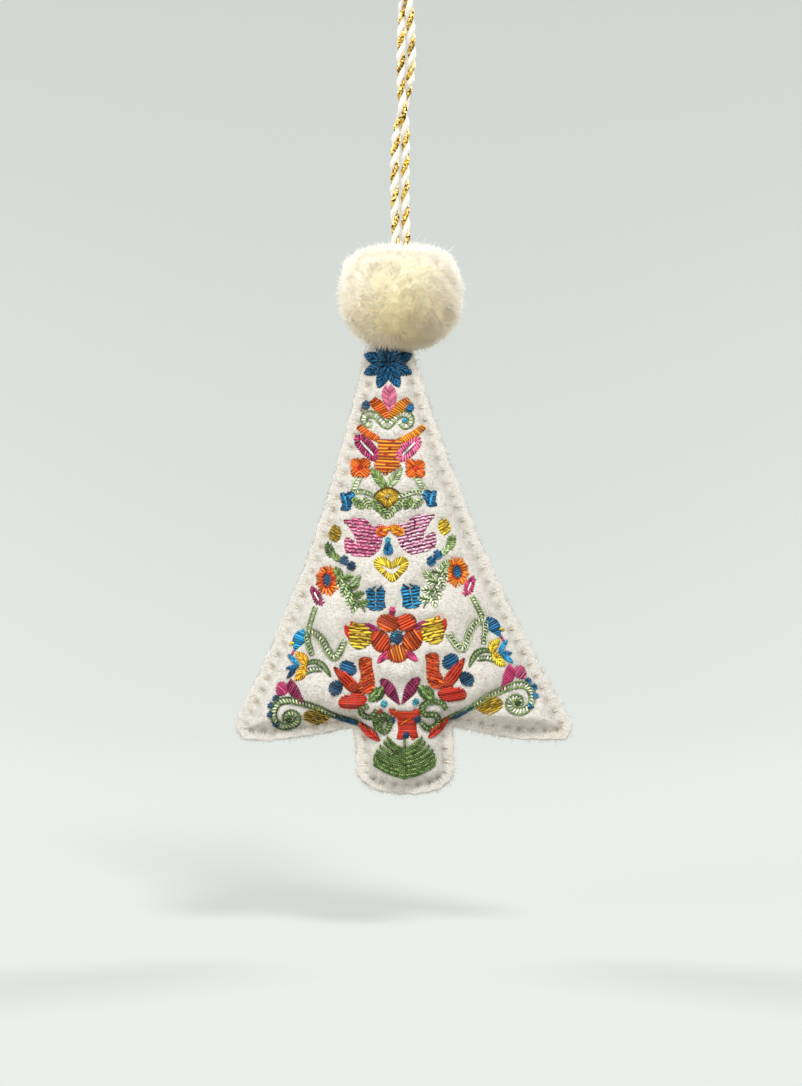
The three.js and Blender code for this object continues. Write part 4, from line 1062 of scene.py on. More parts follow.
def tree_outline():
    """The tree's outline, half of it mirrored, from its tip clockwise: across, up, and spine height."""
    side_top = TREE_HEIGHT - TIP_ROUND
    spine_top = 1 - TIP_SPINE_DROP / TREE_HEIGHT
    corner = (SKIRT_HALF_WIDTH - SKIRT_CORNER_RADIUS, SKIRT_CORNER_HEIGHT)
    corner_arc = arc(corner, SKIRT_CORNER_RADIUS, 180 / 7, -180 / 2.2, 14)
    size = (SKIRT_HALF_WIDTH, TREE_HEIGHT)
    side = bezier([(TIP_HALF_WIDTH, side_top), np.multiply(SIDE_UPPER_SHARES, size),
                   np.multiply(SIDE_LOWER_SHARES, size), corner_arc[0]], 90)
    hem_middle = mix(TRUNK_HALF_WIDTH, SKIRT_HALF_WIDTH, HEM_DIP_SHARE)
    crotch_start = TRUNK_HALF_WIDTH + CROTCH_FILLET
    hem = bezier([corner_arc[-1], (hem_middle, CROTCH_HEIGHT - SKIRT_HEM_DIP),
                  (crotch_start, CROTCH_HEIGHT)], 40)
    crotch = arc((crotch_start, CROTCH_HEIGHT - CROTCH_FILLET), CROTCH_FILLET, 90, 180, 6)
    flat = TRUNK_HALF_WIDTH - TRUNK_CORNER_RADIUS
    foot_height = TRUNK_SAG + TRUNK_CORNER_RADIUS
    trunk = np.array([(TRUNK_HALF_WIDTH, CROTCH_HEIGHT - CROTCH_FILLET), (TRUNK_HALF_WIDTH, foot_height)])
    trunk = mix(trunk[:1], trunk[1:], np.linspace(0, 1, 16)[:, None])
    trunk_corner = arc((flat, foot_height), TRUNK_CORNER_RADIUS, 0, -62, 8)
    foot_across = np.linspace(flat * 0.96, 0, 16)
    foot = np.stack([foot_across, TRUNK_SAG * (foot_across / TRUNK_HALF_WIDTH) ** 2], axis=1)
    tip = arc((0, side_top), TIP_HALF_WIDTH, 90, 0, 10, TIP_ROUND / TIP_HALF_WIDTH)
    half = np.vstack([
        with_spine(tip, spine_top, spine_top),
        with_spine(side, spine_top, SKIRT_SPINE_SHARE)[1:],
        with_spine(corner_arc, SKIRT_SPINE_SHARE, SKIRT_SPINE_SHARE)[1:],
        with_spine(hem, SKIRT_SPINE_SHARE, HEM_SPINE_SHARE, 4)[1:],
        with_spine(crotch, HEM_SPINE_SHARE, TRUNK_SPINE_SHARES[0])[1:],
        with_spine(trunk, *TRUNK_SPINE_SHARES)[1:],
        with_spine(trunk_corner, TRUNK_SPINE_SHARES[1], FOOT_SPINE_SHARE)[1:],
        with_spine(foot, FOOT_SPINE_SHARE, FOOT_SPINE_SHARE)])
    whole = np.vstack([half, half[-2:0:-1] * (-1, 1, 1)])
    return around_evenly(whole, EDGE_STEP)


def around_evenly(closed, step):
    """A closed line in equal steps, the corners eased over two of them."""
    line = np.vstack([closed, closed[:1]])
    run = run_along(line[:, :2])
    steps = int(run[-1] / step)
    line = read_line(line, run, np.arange(steps) * run[-1] / steps)
    return 0.5 * line + 0.25 * (np.roll(line, 1, axis=0) + np.roll(line, -1, axis=0))


def centre_line(up):
    """The tree hangs a little askew: its middle drifts sideways in proportion to the depth under its tip."""
    return TIP_OFFSET + LEAN_SHARE * (TREE_HEIGHT - up)


def in_scene(places, y):
    """Places on the panels' plan, across and up, as points of the scene at a given y."""
    return np.stack([centre_line(places[..., 1]) + places[..., 0], y, tree_foot + places[..., 1]], axis=-1)


def outward_of(line):
    """The direction out of a closed line that runs clockwise seen from the front."""
    return square_to(unit(np.roll(line, -1, axis=0) - np.roll(line, 1, axis=0)))


def plump(spine):
    """Smooth steps between the rows of PLUMP_SHARES."""
    rows = np.array(PLUMP_SHARES)
    place = np.clip(spine / TREE_HEIGHT, 0, 1)
    k = np.clip(np.searchsorted(rows[:, 0], place) - 1, 0, len(rows) - 2)
    return mix(rows[k, 1], rows[k + 1, 1], smoothstep(place, rows[k, 0], rows[k + 1, 0]))


outline = tree_outline()
edge = outline[:, :2]
edge_out = outward_of(edge)
edge_run = np.arange(len(edge)) * np.linalg.norm(edge[1] - edge[0])
seam_line = edge - edge_out * SEAM_MARGIN
spine_line = np.stack([np.zeros(len(edge)), outline[:, 2]], axis=1)
raster_low = edge.min(axis=0) - RASTER_MARGIN
raster_size = ((edge.max(axis=0) + RASTER_MARGIN - raster_low) / RASTER_STEP).astype(int) + 1
cells = np.stack(np.meshgrid(*(np.arange(n) for n in raster_size), indexing="ij"), axis=-1)
cells = raster_low + cells * RASTER_STEP


def cell_numbers(places):
    """The number of the raster's cell that each place is in."""
    cell = np.round((places.reshape(-1, 2) - raster_low) / RASTER_STEP).astype(int)
    return np.ravel_multi_index(tuple(np.clip(cell, 0, raster_size - 1).T), raster_size)


def raster_mean(places, values, reach):
    """A regular field of values near scattered places: a Gaussian mean of those around each cell."""
    index = cell_numbers(places)
    total = np.bincount(index, values.ravel(), raster_size.prod()).reshape(raster_size)
    count = np.bincount(index, minlength=raster_size.prod()).reshape(raster_size).astype(float)
    return soften(total, reach) / np.maximum(soften(count, reach), 1e-9)


def soften(field, reach):
    """Gaussian blur by way of the Fourier transform."""
    frequencies = np.fft.fftfreq(field.shape[0])[:, None] ** 2 + np.fft.rfftfreq(field.shape[1])[None] ** 2
    gauss = np.exp(-2 * (math.pi * reach / RASTER_STEP) ** 2 * frequencies)
    return np.maximum(np.fft.irfft2(np.fft.rfft2(field) * gauss, s=field.shape), 0)


def read_raster(field, places):
    """Bilinear reading of a field at places."""
    at = (places - raster_low) / RASTER_STEP
    cell = np.clip(np.floor(at).astype(int), 0, raster_size - 2)
    fx, fy = np.moveaxis(np.clip(at - cell, 0, 1), -1, 0)
    i, j = np.moveaxis(cell, -1, 0)
    return (field[i, j] * (1 - fx) * (1 - fy) + field[i + 1, j] * fx * (1 - fy)
            + field[i, j + 1] * (1 - fx) * fy + field[i + 1, j + 1] * fx * fy)


def unit_place(points):
    """Stitch units to metres: across from the tree's upright middle, and up from its foot."""
    x = (points[..., 0] - MIDDLE_ACROSS) * STITCH_UNIT
    up = -loop_height - (points[..., 1] - CROWN_PIXEL_Y) * STITCH_UNIT - tree_foot
    return np.stack([x - centre_line(up), up], axis=-1)


def mirrored(plan_places):
    """The same places on the other side, with the pattern's slant and its drift to the left kept."""
    x, up = plan_places[..., 0], plan_places[..., 1]
    low, high = DRIFT_SPAN_SHARES
    height = up
    for _ in range(4):
        tilt = mix(*TILT_SHARES, smoothstep(height / TREE_HEIGHT, *TILT_SPAN_SHARES))
        span = (height / TREE_HEIGHT - low) / (high - low)
        drift = DRIFT_SHARE * SKIRT_HALF_WIDTH * 4 * np.clip(span * (1 - span), 0, 1)
        side = x + drift
        height = up - side * tilt
    return np.stack([-side - drift, height - side * tilt], axis=-1)


def plan_motifs():
    """Every motif's node, slot and layers of (dye, stitches on the panel, share of the thread's width)."""
    rows = [(node, slot, [(dye, unit_place(stitches), *width) for dye, stitches, *width in layers])
            for node, (slot, layers) in single_motifs.items()]
    for node, (slot, layers) in paired_motifs.items():
        for side, suffix in enumerate(("_left", "_right")):
            placed = []
            for dye, stitches, *width in layers:
                # Painted shade and light: the left copy mostly takes the darker dye of a pair.
                own_dye = dye if isinstance(dye, str) else dye[side]
                places = unit_place(stitches)
                placed.append((own_dye, mirrored(places) if side else places, *width))
            rows.append((node + suffix, slot, placed))
    return rows


motifs = plan_motifs()


def stitch_density():
    """Thread length laid per area, softened, from 0 on bare felt to about 1 under satin stitch."""
    ends = np.concatenate([layer[1] for _, _, layers in motifs for layer in layers])
    marks = 9
    t = np.linspace(0, 1, marks)[None, :, None]
    places = ends[:, :1] * (1 - t) + ends[:, 1:] * t
    length = np.linalg.norm(ends[:, 1] - ends[:, 0], axis=1)
    index = cell_numbers(places)
    laid = np.bincount(index, np.repeat(length, marks) / marks, raster_size.prod()).reshape(raster_size)
    return np.clip(soften(laid, 1.1 * MM) * STITCH_PITCH * STITCH_UNIT / RASTER_STEP ** 2, 0, 1.2)


def from_edge(places):
    """How far each place is inside the cut edge, negative outside, and its nearest edge point's number."""
    flat = places.reshape(-1, 2)
    nearest = np.concatenate([np.argmin(((part[:, None] - edge[None]) ** 2).sum(axis=2), axis=1)
                              for part in np.array_split(flat, len(flat) // 8000 + 1)])
    away = flat - edge[nearest]
    inside = -np.sign(np.sum(away * edge_out[nearest], axis=1)) * np.linalg.norm(away, axis=1)
    return inside.reshape(places.shape[:-1]), nearest.reshape(places.shape[:-1])


def fans():
    """The solids' own faces, seam to spine: PLUMPNESS plump (1 - (1 - t)^2)^BULGE_SHARPNESS at share t."""
    t = np.linspace(0, 1, 60)[:, None, None]
    places = mix(seam_line[None], spine_line[None], t)
    return places, PLUMPNESS * plump(outline[None, :, 2]) * (1 - (1 - t[..., 0]) ** 2) ** BULGE_SHARPNESS


cell_inside, cell_nearest = from_edge(cells)
past_seam = cell_inside - SEAM_MARGIN
belly = raster_mean(*fans(), 2.2 * MM)
density = stitch_density()


def smooth_random(count, reach, seed):
    """A periodic random row softened over a number of its points, about one high."""
    row = np.random.default_rng(seed).normal(size=count)
    gauss = np.exp(-2 * (math.pi * reach * np.fft.rfftfreq(count)) ** 2)
    row = np.fft.irfft(np.fft.rfft(row) * gauss, n=count)
    return row / row.std()


def puffed(side):
    """The felt's rise over the seam: the solids', eased; puckers by the seam; hollows under the stitches."""
    to_spine = np.linalg.norm(spine_line - seam_line, axis=1)[cell_nearest]
    t = np.clip(past_seam / to_spine, 0, 1)
    near = PLUMPNESS * plump(outline[:, 2])[cell_nearest] * (1 - (1 - t) ** 2) ** BULGE_SHARPNESS
    rise = mix(near, belly, smoothstep(past_seam, 0.6 * MM, 4 * MM))
    puckers = smooth_random(len(edge), 4.5, 30 + side)[cell_nearest]
    rise += PUCKER * puckers * np.exp(-((past_seam - 2 * MM) / (1.8 * MM)) ** 2) * (past_seam > 0)
    places = np.stack([cells[..., 0], 0 * past_seam, cells[..., 1]], axis=-1).reshape(-1, 3)
    waves = lumps(places, 27 * MM, 50 + side, 2) * FILLING_LUMP
    waves += lumps(places, 9 * MM, 60 + side, 2) * FELT_LUMP
    rise += waves.reshape(rise.shape) * smoothstep(past_seam, 0, 5 * MM)
    if side == 0:
        # Bare felt puffs up between stitched patches, and least in the trunk, where the seams are close.
        around = soften(density, 2.8 * MM)
        firm = mix(0.4, 1, smoothstep(cells[..., 1], 0.1 * TREE_HEIGHT, 0.22 * TREE_HEIGHT))
        puff = PUFF * (PUFF_DENSITY - around) - STITCH_HOLLOW * density
        rise += smoothstep(past_seam, 0, 3 * MM) * firm * puff
    return np.maximum(soften(np.maximum(rise, 0), 0.35 * MM), 0) * (past_seam > -1 * MM)


# The stitch holes lie at equal steps along the edge. from_hole is 0 at a hole and 1 midway between two.
hole_count = int(edge_run[-1] / STITCH_SPACING)
hole_run = (np.arange(hole_count) + 0.5) * edge_run[-1] / hole_count
hole_spacing = hole_run[1] - hole_run[0]
from_hole = np.abs(((edge_run - hole_run[0]) / hole_spacing + 0.5) % 1 - 0.5) * 2


def outer_depth(side):
    """The panel's outer face, from the tree's middle plane, dented at each hole and pinched beside it."""
    deep = np.random.default_rng(70 + side).uniform(0.6, 1.3, hole_count + 1)
    deep = deep[np.round((edge_run[cell_nearest] - hole_run[0]) / hole_spacing).astype(int) % hole_count]
    past_hole = cell_inside - STITCH_BITE
    bite = np.exp(-(past_hole / HOLE_RADIUS) ** 2 - (from_hole[cell_nearest] / 0.42) ** 2) * deep
    band = np.exp(-(past_hole / SEAM_PINCH_WIDTH) ** 2)
    return SEAM_GAP / 2 + FELT_THICKNESS + puffed(side) - HOLE_DENT * bite - SEAM_PINCH * band, bite


front_depth, front_bite = outer_depth(0)
back_depth, back_bite = outer_depth(1)


def felt_plan():
    """The panel's plan: rings from the cut edge to the seam, then a lattice in Delaunay triangles."""
    rings = mix(edge[None], seam_line[None], np.linspace(0, 1, EDGE_ROWS)[:, None, None]).reshape(-1, 2)
    rows = np.arange(0, TREE_HEIGHT, FELT_STEP * math.sqrt(0.75))
    columns = np.arange(-SKIRT_HALF_WIDTH, SKIRT_HALF_WIDTH, FELT_STEP)
    lattice = np.stack([columns[None] + FELT_STEP / 2 * (np.arange(len(rows)) % 2)[:, None],
                        np.broadcast_to(rows[:, None], (len(rows), len(columns)))], axis=-1).reshape(-1, 2)
    lattice = lattice[from_edge(lattice)[0] > SEAM_MARGIN + 0.6 * FELT_STEP]
    inner = np.vstack([rings[-len(edge):], lattice])
    _, _, faces, came_from, _, _ = delaunay_2d_cdt(
        [Vector(p) for p in inner.tolist()], [], [list(range(len(edge)))], 1, 1e-7)
    number = np.array([first[0] for first in came_from]) + (EDGE_ROWS - 1) * len(edge)
    triangles = number[np.array(faces)]
    places = np.vstack([rings, lattice])
    a, b, c = (places[triangles[:, k]] for k in range(3))
    turned = (b - a)[:, 0] * (c - a)[:, 1] - (b - a)[:, 1] * (c - a)[:, 0] < 0
    triangles[turned] = triangles[turned][:, ::-1]
    row = np.arange(EDGE_ROWS - 1)[:, None] * len(edge)
    i = row + np.arange(len(edge))
    n = row + (np.arange(len(edge)) + 1) % len(edge)
    return places, triangles, np.stack([n, i, i + len(edge), n + len(edge)], axis=-1).reshape(-1, 4)


felt_places, felt_triangles, felt_rings = felt_plan()


def felt_mesh(name, side, depth_field, bite_field, material):
    """One panel: its outer face, its rounded cut edge in seven rows and its inner face."""
    facing = -1 if side == 0 else 1
    total, around = len(felt_places), len(edge)
    banded = EDGE_ROWS * around
    scallop = SCALLOP * (from_hole ** 2 - 0.35) + EDGE_WANDER * smooth_random(around, 2.5, 60)
    scallop = edge_out * scallop[:, None] * np.linspace(1, 0, EDGE_ROWS)[:, None, None]
    places = felt_places.copy()
    places[:banded] += scallop.reshape(-1, 2)
    outer = read_raster(depth_field, felt_places)
    inner = np.maximum(outer - FELT_THICKNESS, SEAM_GAP / 2)
    roll = np.radians(np.linspace(70, -70, EDGE_ROWS))[:, None]
    middle = (outer + inner)[:around] / 2
    bulge = (places[:around] + edge_out * np.cos(roll)[..., None] * EDGE_ROUNDING).reshape(-1, 2)
    bulge_depth = (middle + FELT_THICKNESS / 2 * np.sin(roll)).ravel()
    points = in_scene(np.vstack([places, bulge, places]),
                      facing * np.concatenate([outer, bulge_depth, inner]))
    shift = total + banded
    rows = np.vstack([np.arange(around), total + np.arange(banded).reshape(EDGE_ROWS, around),
                      shift + np.arange(around)])
    after = np.roll(rows, -1, axis=1)
    rim = np.stack([rows[:-1], after[:-1], after[1:], rows[1:]], axis=-1).reshape(-1, 4)
    threes = np.vstack([felt_triangles, felt_triangles[:, ::-1] + shift])
    fours = np.vstack([felt_rings, felt_rings[:, ::-1] + shift, rim])
    if side == 1:
        threes, fours = threes[:, ::-1], fours[:, ::-1]
    piece = mesh_object(name, points, np.concatenate([threes.ravel(), fours.ravel()]),
                        np.repeat([3, 4], [len(threes), len(fours)]), [material])
    # Painted shade: the dent at each stitch hole, stored for the material to darken.
    dent_shade_values = np.zeros(len(points))
    dent_shade_values[:total] = read_raster(bite_field, felt_places)
    attribute = piece.data.attributes.new("hole_shade", "FLOAT", "POINT")
    attribute.data.foreach_set("value", dent_shade_values.astype(np.float32))
    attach(piece, "tree")
    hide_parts(name.replace("panel", "felt"))


def felt_material(name, base, shade):
    """Needled wool-blend felt: fibres matted every way, paler tufts, grey hollows, and painted shade in the
    dents at the stitch holes.
    """
    material, nodes, shader = new_material(name, Roughness=0.95, Sheen_Weight=0.45, Sheen_Roughness=0.55,
                                           Specular_IOR_Level=0.25)
    place = add_node(nodes, "ShaderNodeTexCoord")
    cloud = add_node(nodes, "ShaderNodeTexNoise", {"Scale": 420.0, "Detail": 3.0, "Roughness": 0.6},
                     {"Vector": place.outputs["Object"]})
    grain = add_node(nodes, "ShaderNodeTexNoise", {"Scale": 2300.0, "Detail": 3.0, "Roughness": 0.75},
                     {"Vector": place.outputs["Object"]})
    turned = add_node(nodes, "ShaderNodeMapping", {"Rotation": (0, 0.6, 0), "Scale": (0.3, 1, 1)},
                      {"Vector": place.outputs["Object"]})
    fibres = add_node(nodes, "ShaderNodeTexNoise", {"Scale": 3200.0, "Detail": 2.0, "Distortion": 1.5},
                      {"Vector": turned.outputs["Vector"]})
    matted = add_node(nodes, "ShaderNodeMath", {"operation": "ADD"})
    nodes.links.new(grain.outputs["Fac"], matted.inputs[0])
    nodes.links.new(fibres.outputs["Fac"], matted.inputs[1])
    both = add_node(nodes, "ShaderNodeMath", {"operation": "MULTIPLY_ADD", "Value_001": 0.35})
    nodes.links.new(cloud.outputs["Fac"], both.inputs[0])
    nodes.links.new(matted.outputs["Value"], both.inputs[2])
    level = add_node(nodes, "ShaderNodeMapRange", {"From Min": 0.86, "From Max": 1.26},
                     {"Value": both.outputs["Value"]})
    tint = add_node(nodes, "ShaderNodeMix", {"data_type": "RGBA", "A": linear(shade), "B": linear(base)},
                    {"Factor": level.outputs["Result"]})
    # Painted shade: a brownish grey darkens the felt in the dents at the stitch holes.
    holes = add_node(nodes, "ShaderNodeAttribute", {"attribute_name": "hole_shade"})
    dent_shade_share = add_node(nodes, "ShaderNodeMath", {"operation": "MULTIPLY", "Value_001": 0.75},
                    {"Value": holes.outputs["Fac"]})
    dent_shaded_tint = add_node(nodes, "ShaderNodeMix", {"data_type": "RGBA", "B": linear("#A8977C")},
                      {"A": tint.outputs["Result"], "Factor": dent_shade_share.outputs["Value"]})
    nodes.links.new(dent_shaded_tint.outputs["Result"], shader.inputs["Base Color"])
    bump = add_node(nodes, "ShaderNodeBump", {"Strength": 0.65, "Distance": 0.3 * MM},
                    {"Height": both.outputs["Value"]})
    nodes.links.new(bump.outputs["Normal"], shader.inputs["Normal"])
    return material


white_felt = felt_material("needled_white_felt", "#EDE9E0", "#BEB6A9")
felt_mesh("front_panel", 0, front_depth, front_bite, white_felt)
felt_mesh("back_panel", 1, back_depth, back_bite, white_felt)


def on_front(places, lift):
    """A place on the front panel, lifted off it along its face: x, -y and z with the face's slope."""
    step = 0.5 * MM
    slope_x, slope_z = ((read_raster(front_depth, places + aside) - read_raster(front_depth, places - aside))
                        / (2 * step) for aside in np.diag([step, step]))
    normal = unit(np.stack([-slope_x, -np.ones_like(slope_x), -slope_z], axis=-1))
    return in_scene(places, -read_raster(front_depth, places)) + normal * lift[..., None], normal


# Fuzz: single wool fibres that stand off the felt, short over its faces and longer along its cut edge.
FUZZ_ON_FACE = 14000
FUZZ_ON_EDGE = 8000
FUZZ_RADIUS = 0.036 * MM      # about twice a real fibre, so that it shows against the light
FUZZ_REFERENCE = np.array([0.3, 0.6, 0.74])


def fuzz(name, starts, normals, lengths, seed, lie, steps=3):
    """Curved hairs: start + length (t (normal (1 - lie) + side lie) + 0.45 t^2 curl), thinning to the tip."""
    hairs = np.random.default_rng(seed)
    count = len(starts)
    t = np.linspace(0, 1, steps)[None, :, None]
    side = unit(np.cross(normals, hairs.normal(size=(count, 3))))
    curl = unit(hairs.normal(size=(count, 3)))
    size = lengths[:, None, None]
    leaning = (normals * (1 - lie) + side * lie)[:, None]
    paths = starts[:, None] + size * (t * leaning + 0.45 * t ** 2 * curl[:, None])
    points, loops, sizes = sweep(paths, FUZZ_RADIUS * (1 - 0.55 * t[..., 0]), 3, FUZZ_REFERENCE)
    piece = mesh_object(name, points, loops, sizes, [white_felt])
    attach(piece, "tree")


def felt_fuzz():
    """Hairs on the front where it is bare, all over the back, and out from the cut edge."""
    hairs = np.random.default_rng(77)
    places = felt_places[hairs.integers(5 * len(edge), len(felt_places), FUZZ_ON_FACE)]
    places = places + hairs.normal(size=places.shape) * FELT_STEP / 2
    starts, normals = on_front(places, np.zeros(len(places)))
    bare = hairs.random(len(places)) > read_raster(density, places) * 0.85
    fuzz("front_fuzz", starts[bare], normals[bare], hairs.uniform(0.4, 1.5, bare.sum()) * MM, 5, 0.75)
    starts[:, 1] = read_raster(back_depth, places)
    fuzz("back_fuzz", starts, normals * (1, -1, 1), hairs.uniform(0.4, 1.5, len(places)) * MM, 6, 0.75)
    around = hairs.integers(0, len(edge), FUZZ_ON_EDGE)
    depth = hairs.uniform(-1.25, 1.25, FUZZ_ON_EDGE) * MM
    out = np.stack([edge_out[around, 0], 0 * depth, edge_out[around, 1]], axis=1)
    normals = unit(out + hairs.normal(size=out.shape) * 0.5)
    lengths = hairs.uniform(0.3, 1.6, FUZZ_ON_EDGE) ** 1.5 * MM
    fuzz("edge_fuzz", in_scene(edge[around], depth) + out * 0.2 * MM, normals, lengths, 7, 0.35, 4)


felt_fuzz()


# The filling: crimped polyester fibre pressed in through the last gap in the seam. No side shows it.
# It is a plump body just inside the panels, in the space of its node.
FILLING_GAP = 0.9 * MM
FILLING_LEAST = 0.02 * MM


def filling():
    """The plan inside the seam, between two faces a little under the felt."""
    seam = (EDGE_ROWS - 1) * len(edge)
    places = felt_places[seam:]
    lift = read_raster(front_depth, places) - FELT_THICKNESS - FILLING_GAP
    top = in_scene(places, -np.maximum(lift, FILLING_LEAST))
    triangles = felt_triangles - seam
    i, n = np.arange(len(edge)), (np.arange(len(edge)) + 1) % len(edge)
    wall = np.stack([i, n, n + len(top), i + len(top)], axis=1)
    faces = np.vstack([triangles, triangles[:, ::-1] + len(top)])
    material = spun_material("polyester_fibre", "#F7F5F0", "#E3DFD6", 900.0, 4.0, 0.35, 0.1 * MM,
                             Roughness=0.85, Sheen_Weight=0.35, Sheen_Roughness=0.5)
    piece = mesh_object("filling", np.vstack([top, top * (1, -1, 1)]),
                        np.concatenate([faces.ravel(), wall.ravel()]),
                        np.repeat([3, 4], [len(faces), len(wall)]), [material])
    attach(piece, "tree")
    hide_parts("fibre_stuffing")


filling()


# The seam: overcast stitches of white cotton, each over the panels' edge from a hole in the front to one
# in the back. They are sewn in five runs, and pull the edge in a little.
SEAM_THREAD_RADIUS = 0.15 * MM
SEAM_REFERENCE = np.array([0.2, 0.1, 0.15])
STITCH_SLANT = 0.7 * MM
STITCH_SWAY = 0.12 * MM
# Half a stitch in millimetres, from its hole to the middle of the edge: the share of the whole thread, how
# far out from the edge, and how far from the tree's middle plane.
HALF_STITCH = np.array([(0, -2.5, 0.7), (0.04, -2.4, 0.98), (0.12, -1.877, 1.18), (0.3, -0.7, 1.28),
                        (0.42, 0.25, 0.95), (0.5, 0.55, 0)])


def overcast(node, first, last):
    """Each stitch: hole, up over the face, round the edge and down the other face, as one bent thread."""
    runs = hole_run[(hole_run >= first) & (hole_run < last)]
    index = np.round(runs / edge_run[1]).astype(int) % len(edge)
    out = edge_out[index]
    sway = np.random.default_rng(len(runs)).normal(size=(len(runs), 1)) * STITCH_SWAY
    turn = np.linspace(0, 1, 17)
    half = np.minimum(turn, 1 - turn)
    reach, depth = (np.interp(half, HALF_STITCH[:, 0], HALF_STITCH[:, k]) * MM for k in (1, 2))
    aside = (turn - 0.5) * STITCH_SLANT + sway
    places = edge[index][:, None] + out[:, None] * reach[:, None] - square_to(out)[:, None] * aside[..., None]
    paths = in_scene(places, np.broadcast_to(depth * np.sign(turn - 0.5), aside.shape))
    away = np.stack([out[:, 0], 0 * out[:, 0], out[:, 1]], axis=1)[:, None]
    reference = SEAM_REFERENCE + np.cross(away, (0, 1.0, 0))
    points, loops, sizes = sweep(paths, SEAM_THREAD_RADIUS, 8, reference)
    piece = mesh_object(node + "_stitches", points, loops, sizes, [white_cotton])
    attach(piece, "tree")
    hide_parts(node)


def seam_runs():
    """The five runs' ends along the edge, from the tip clockwise seen from the front."""
    total = edge_run[-1] + edge_run[1]
    right = edge[:, 0] > 0
    start = edge_run[np.argmax(right & (edge[:, 1] < TREE_HEIGHT - 7.5 * MM))]
    corner = edge_run[np.argmax(right & (edge[:, 1] < SKIRT_CORNER_HEIGHT))]
    trunk = edge_run[np.argmax(right & (edge[:, 0] <= TRUNK_HALF_WIDTH) & (edge[:, 1] < CROTCH_HEIGHT))]
    overcast("seam_right_side", start, corner)
    overcast("seam_right_hem", corner, trunk)
    overcast("seam_trunk", trunk, total - trunk)
    overcast("seam_left_hem", total - trunk, total - corner)
    overcast("seam_left_side", total - corner, total - start)


seam_runs()


# The embroidery's threads: two strands of stranded cotton laid side by side, glossy along the stitch.
# Each stitch comes up through the felt, lies over it and goes down again, so it dips at both its ends.
DYES = {
    "navy": "#0F4160", "blue": "#106594", "sky": "#2498CA", "teal": "#1D98AC",
    "wine": "#7A2148", "plum": "#8A2450", "magenta": "#BA386A", "pink": "#DC7295", "rose": "#F0A6C0",
    "blush": "#FBE2EA", "moss": "#47652E", "leaf": "#7A9450", "sage": "#ACC08A", "celadon": "#D0DAB6",
    "rust": "#9C3208", "red": "#B92A0E", "scarlet": "#D04115", "tangerine": "#E06410", "orange": "#F08A1E",
    "umber": "#5A4212", "bronze": "#75600F", "gold": "#AD8A16", "amber": "#E3A21B", "yellow": "#E9C433",
    "white": "#F1ECE0",
}
THREAD_RADIUS = 0.33 * MM
THREAD_FLATNESS = 0.62
THREAD_SIDES = 6
THREAD_SINK = 0.22 * MM
LEAST_RISE = 0.16 * MM
MOST_RISE = 0.8 * MM
RISE_OF_LENGTH = 0.03
LONGEST_RISING = 3.4 * MM
LAYER_RISE = 0.09 * MM
MOST_LAYERS = 5
SHORTEST_STITCH = 0.25 * MM
THREAD_SHARES = np.array([0, 0.06, 0.2, 0.5, 0.8, 0.94, 1.0])
dye_materials = {}


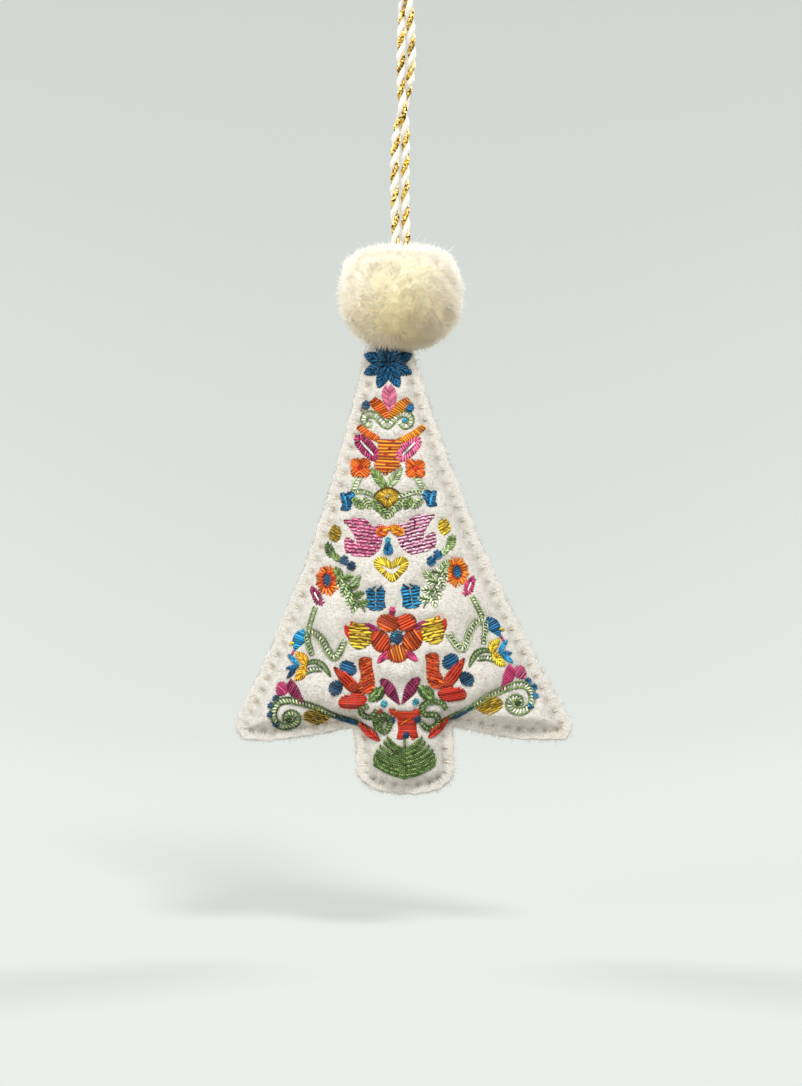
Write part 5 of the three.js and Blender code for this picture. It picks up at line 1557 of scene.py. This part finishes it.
def stranded_cotton(dye):
    """Mercerised stranded cotton: dyed, softly glossy, and each stitch a little lighter or darker.

    Its colour is painted darker on its flanks, as shade in the grooves between threads, and lighter on its
    crest, as a painted highlight, so that single stitches show."""
    if dye in dye_materials:
        return dye_materials[dye]
    material, nodes, shader = new_material("stranded_cotton_" + dye, Roughness=0.3, Specular_IOR_Level=0.2)
    base = np.array(linear(DYES[dye]))
    along = add_node(nodes, "ShaderNodeUVMap", {"uv_map": "along"})
    parts = add_node(nodes, "ShaderNodeSeparateXYZ", links={"Vector": along.outputs["UV"]})
    tint = add_node(nodes, "ShaderNodeValToRGB", links={"Fac": parts.outputs["Y"]})
    tint.color_ramp.elements[0].color = (*(base[:3] * 0.45), 1)
    tint.color_ramp.elements[1].color = (*np.minimum(base[:3] * 1.4 + 0.02, 1), 1)
    painted_crest_and_flank_shade = add_node(nodes, "ShaderNodeMapRange",
                      {"From Min": 0.56, "From Max": 1.0, "To Min": 0.07, "To Max": 1.45},
                      {"Value": parts.outputs["X"]})
    painted_thread_tint = add_node(nodes, "ShaderNodeVectorMath", {"operation": "SCALE"},
                      {"Vector": tint.outputs["Color"], "Scale": painted_crest_and_flank_shade.outputs["Result"]})
    place = add_node(nodes, "ShaderNodeTexCoord")
    strands = add_node(nodes, "ShaderNodeTexNoise", {"Scale": 3200.0, "Detail": 2.0},
                       {"Vector": place.outputs["Object"]})
    nodes.links.new(painted_thread_tint.outputs["Vector"], shader.inputs["Base Color"])
    bump = add_node(nodes, "ShaderNodeBump", {"Strength": 0.35, "Distance": 0.06 * MM},
                    {"Height": strands.outputs["Fac"]})
    nodes.links.new(bump.outputs["Normal"], shader.inputs["Normal"])
    dye_materials[dye] = material
    return material


def lay_threads(stitches, level, width, threads):
    """Stitches as tubes: share t lifts one by -sink + (sink + rise) sin(pi t)^0.45, and rise grows with its
    length and its layer. A point's uv is (1 on the crest to 0 below, the stitch's shade)."""
    length = np.linalg.norm(stitches[:, 1] - stitches[:, 0], axis=1)
    stitches, length = stitches[length > SHORTEST_STITCH], length[length > SHORTEST_STITCH]
    t = THREAD_SHARES[:, None]
    places = stitches[:, :1] * (1 - t) + stitches[:, 1:] * t
    arch = np.sin(math.pi * t[None, :, 0])
    rise = LEAST_RISE + RISE_OF_LENGTH * np.minimum(length, LONGEST_RISING)
    rise += LAYER_RISE * min(level, MOST_LAYERS)
    rise = np.minimum(rise[:, None] * threads.uniform(0.8, 1.2, (len(length), 1)), MOST_RISE)
    paths, normal = on_front(places, (THREAD_SINK + rise) * arch ** 0.45 - THREAD_SINK)
    radii = THREAD_RADIUS * width * threads.uniform(0.88, 1.1, (len(length), 1))
    tubes = sweep(paths, radii * (0.65 + 0.35 * arch ** 0.4), THREAD_SIDES, normal, THREAD_FLATNESS)
    # The material reads this crest value to paint a highlight on each thread's top and shade on its flanks.
    crest = 0.5 + 0.5 * np.cos(np.arange(THREAD_SIDES) / THREAD_SIDES * 2 * math.pi)
    shade = np.repeat(threads.random(len(length)), t.size * THREAD_SIDES)
    return tubes, np.stack([np.tile(crest, len(length) * t.size), shade], axis=1)


def embroider(node, layers, seed):
    """One motif: every stitch of its layers in one piece, with a material for each dye."""
    threads = np.random.default_rng(seed)
    parts, shades = zip(*[lay_threads(stitches, level, *(width or [1]), threads)
                          for level, (_, stitches, *width) in enumerate(layers)])
    points, loops, sizes, part_of = merge_parts(parts)
    names = sorted({layer[0] for layer in layers})
    index = np.array([names.index(layer[0]) for layer in layers])[part_of]
    piece = mesh_object(node + "_stitches", points, loops, sizes, [stranded_cotton(dye) for dye in names],
                        uv=np.vstack(shades), material_index=index)
    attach(piece, "tree")
    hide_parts(node)


for seed, (node, slot, layers) in enumerate(motifs):
    embroider(node, layers, 200 + seed)
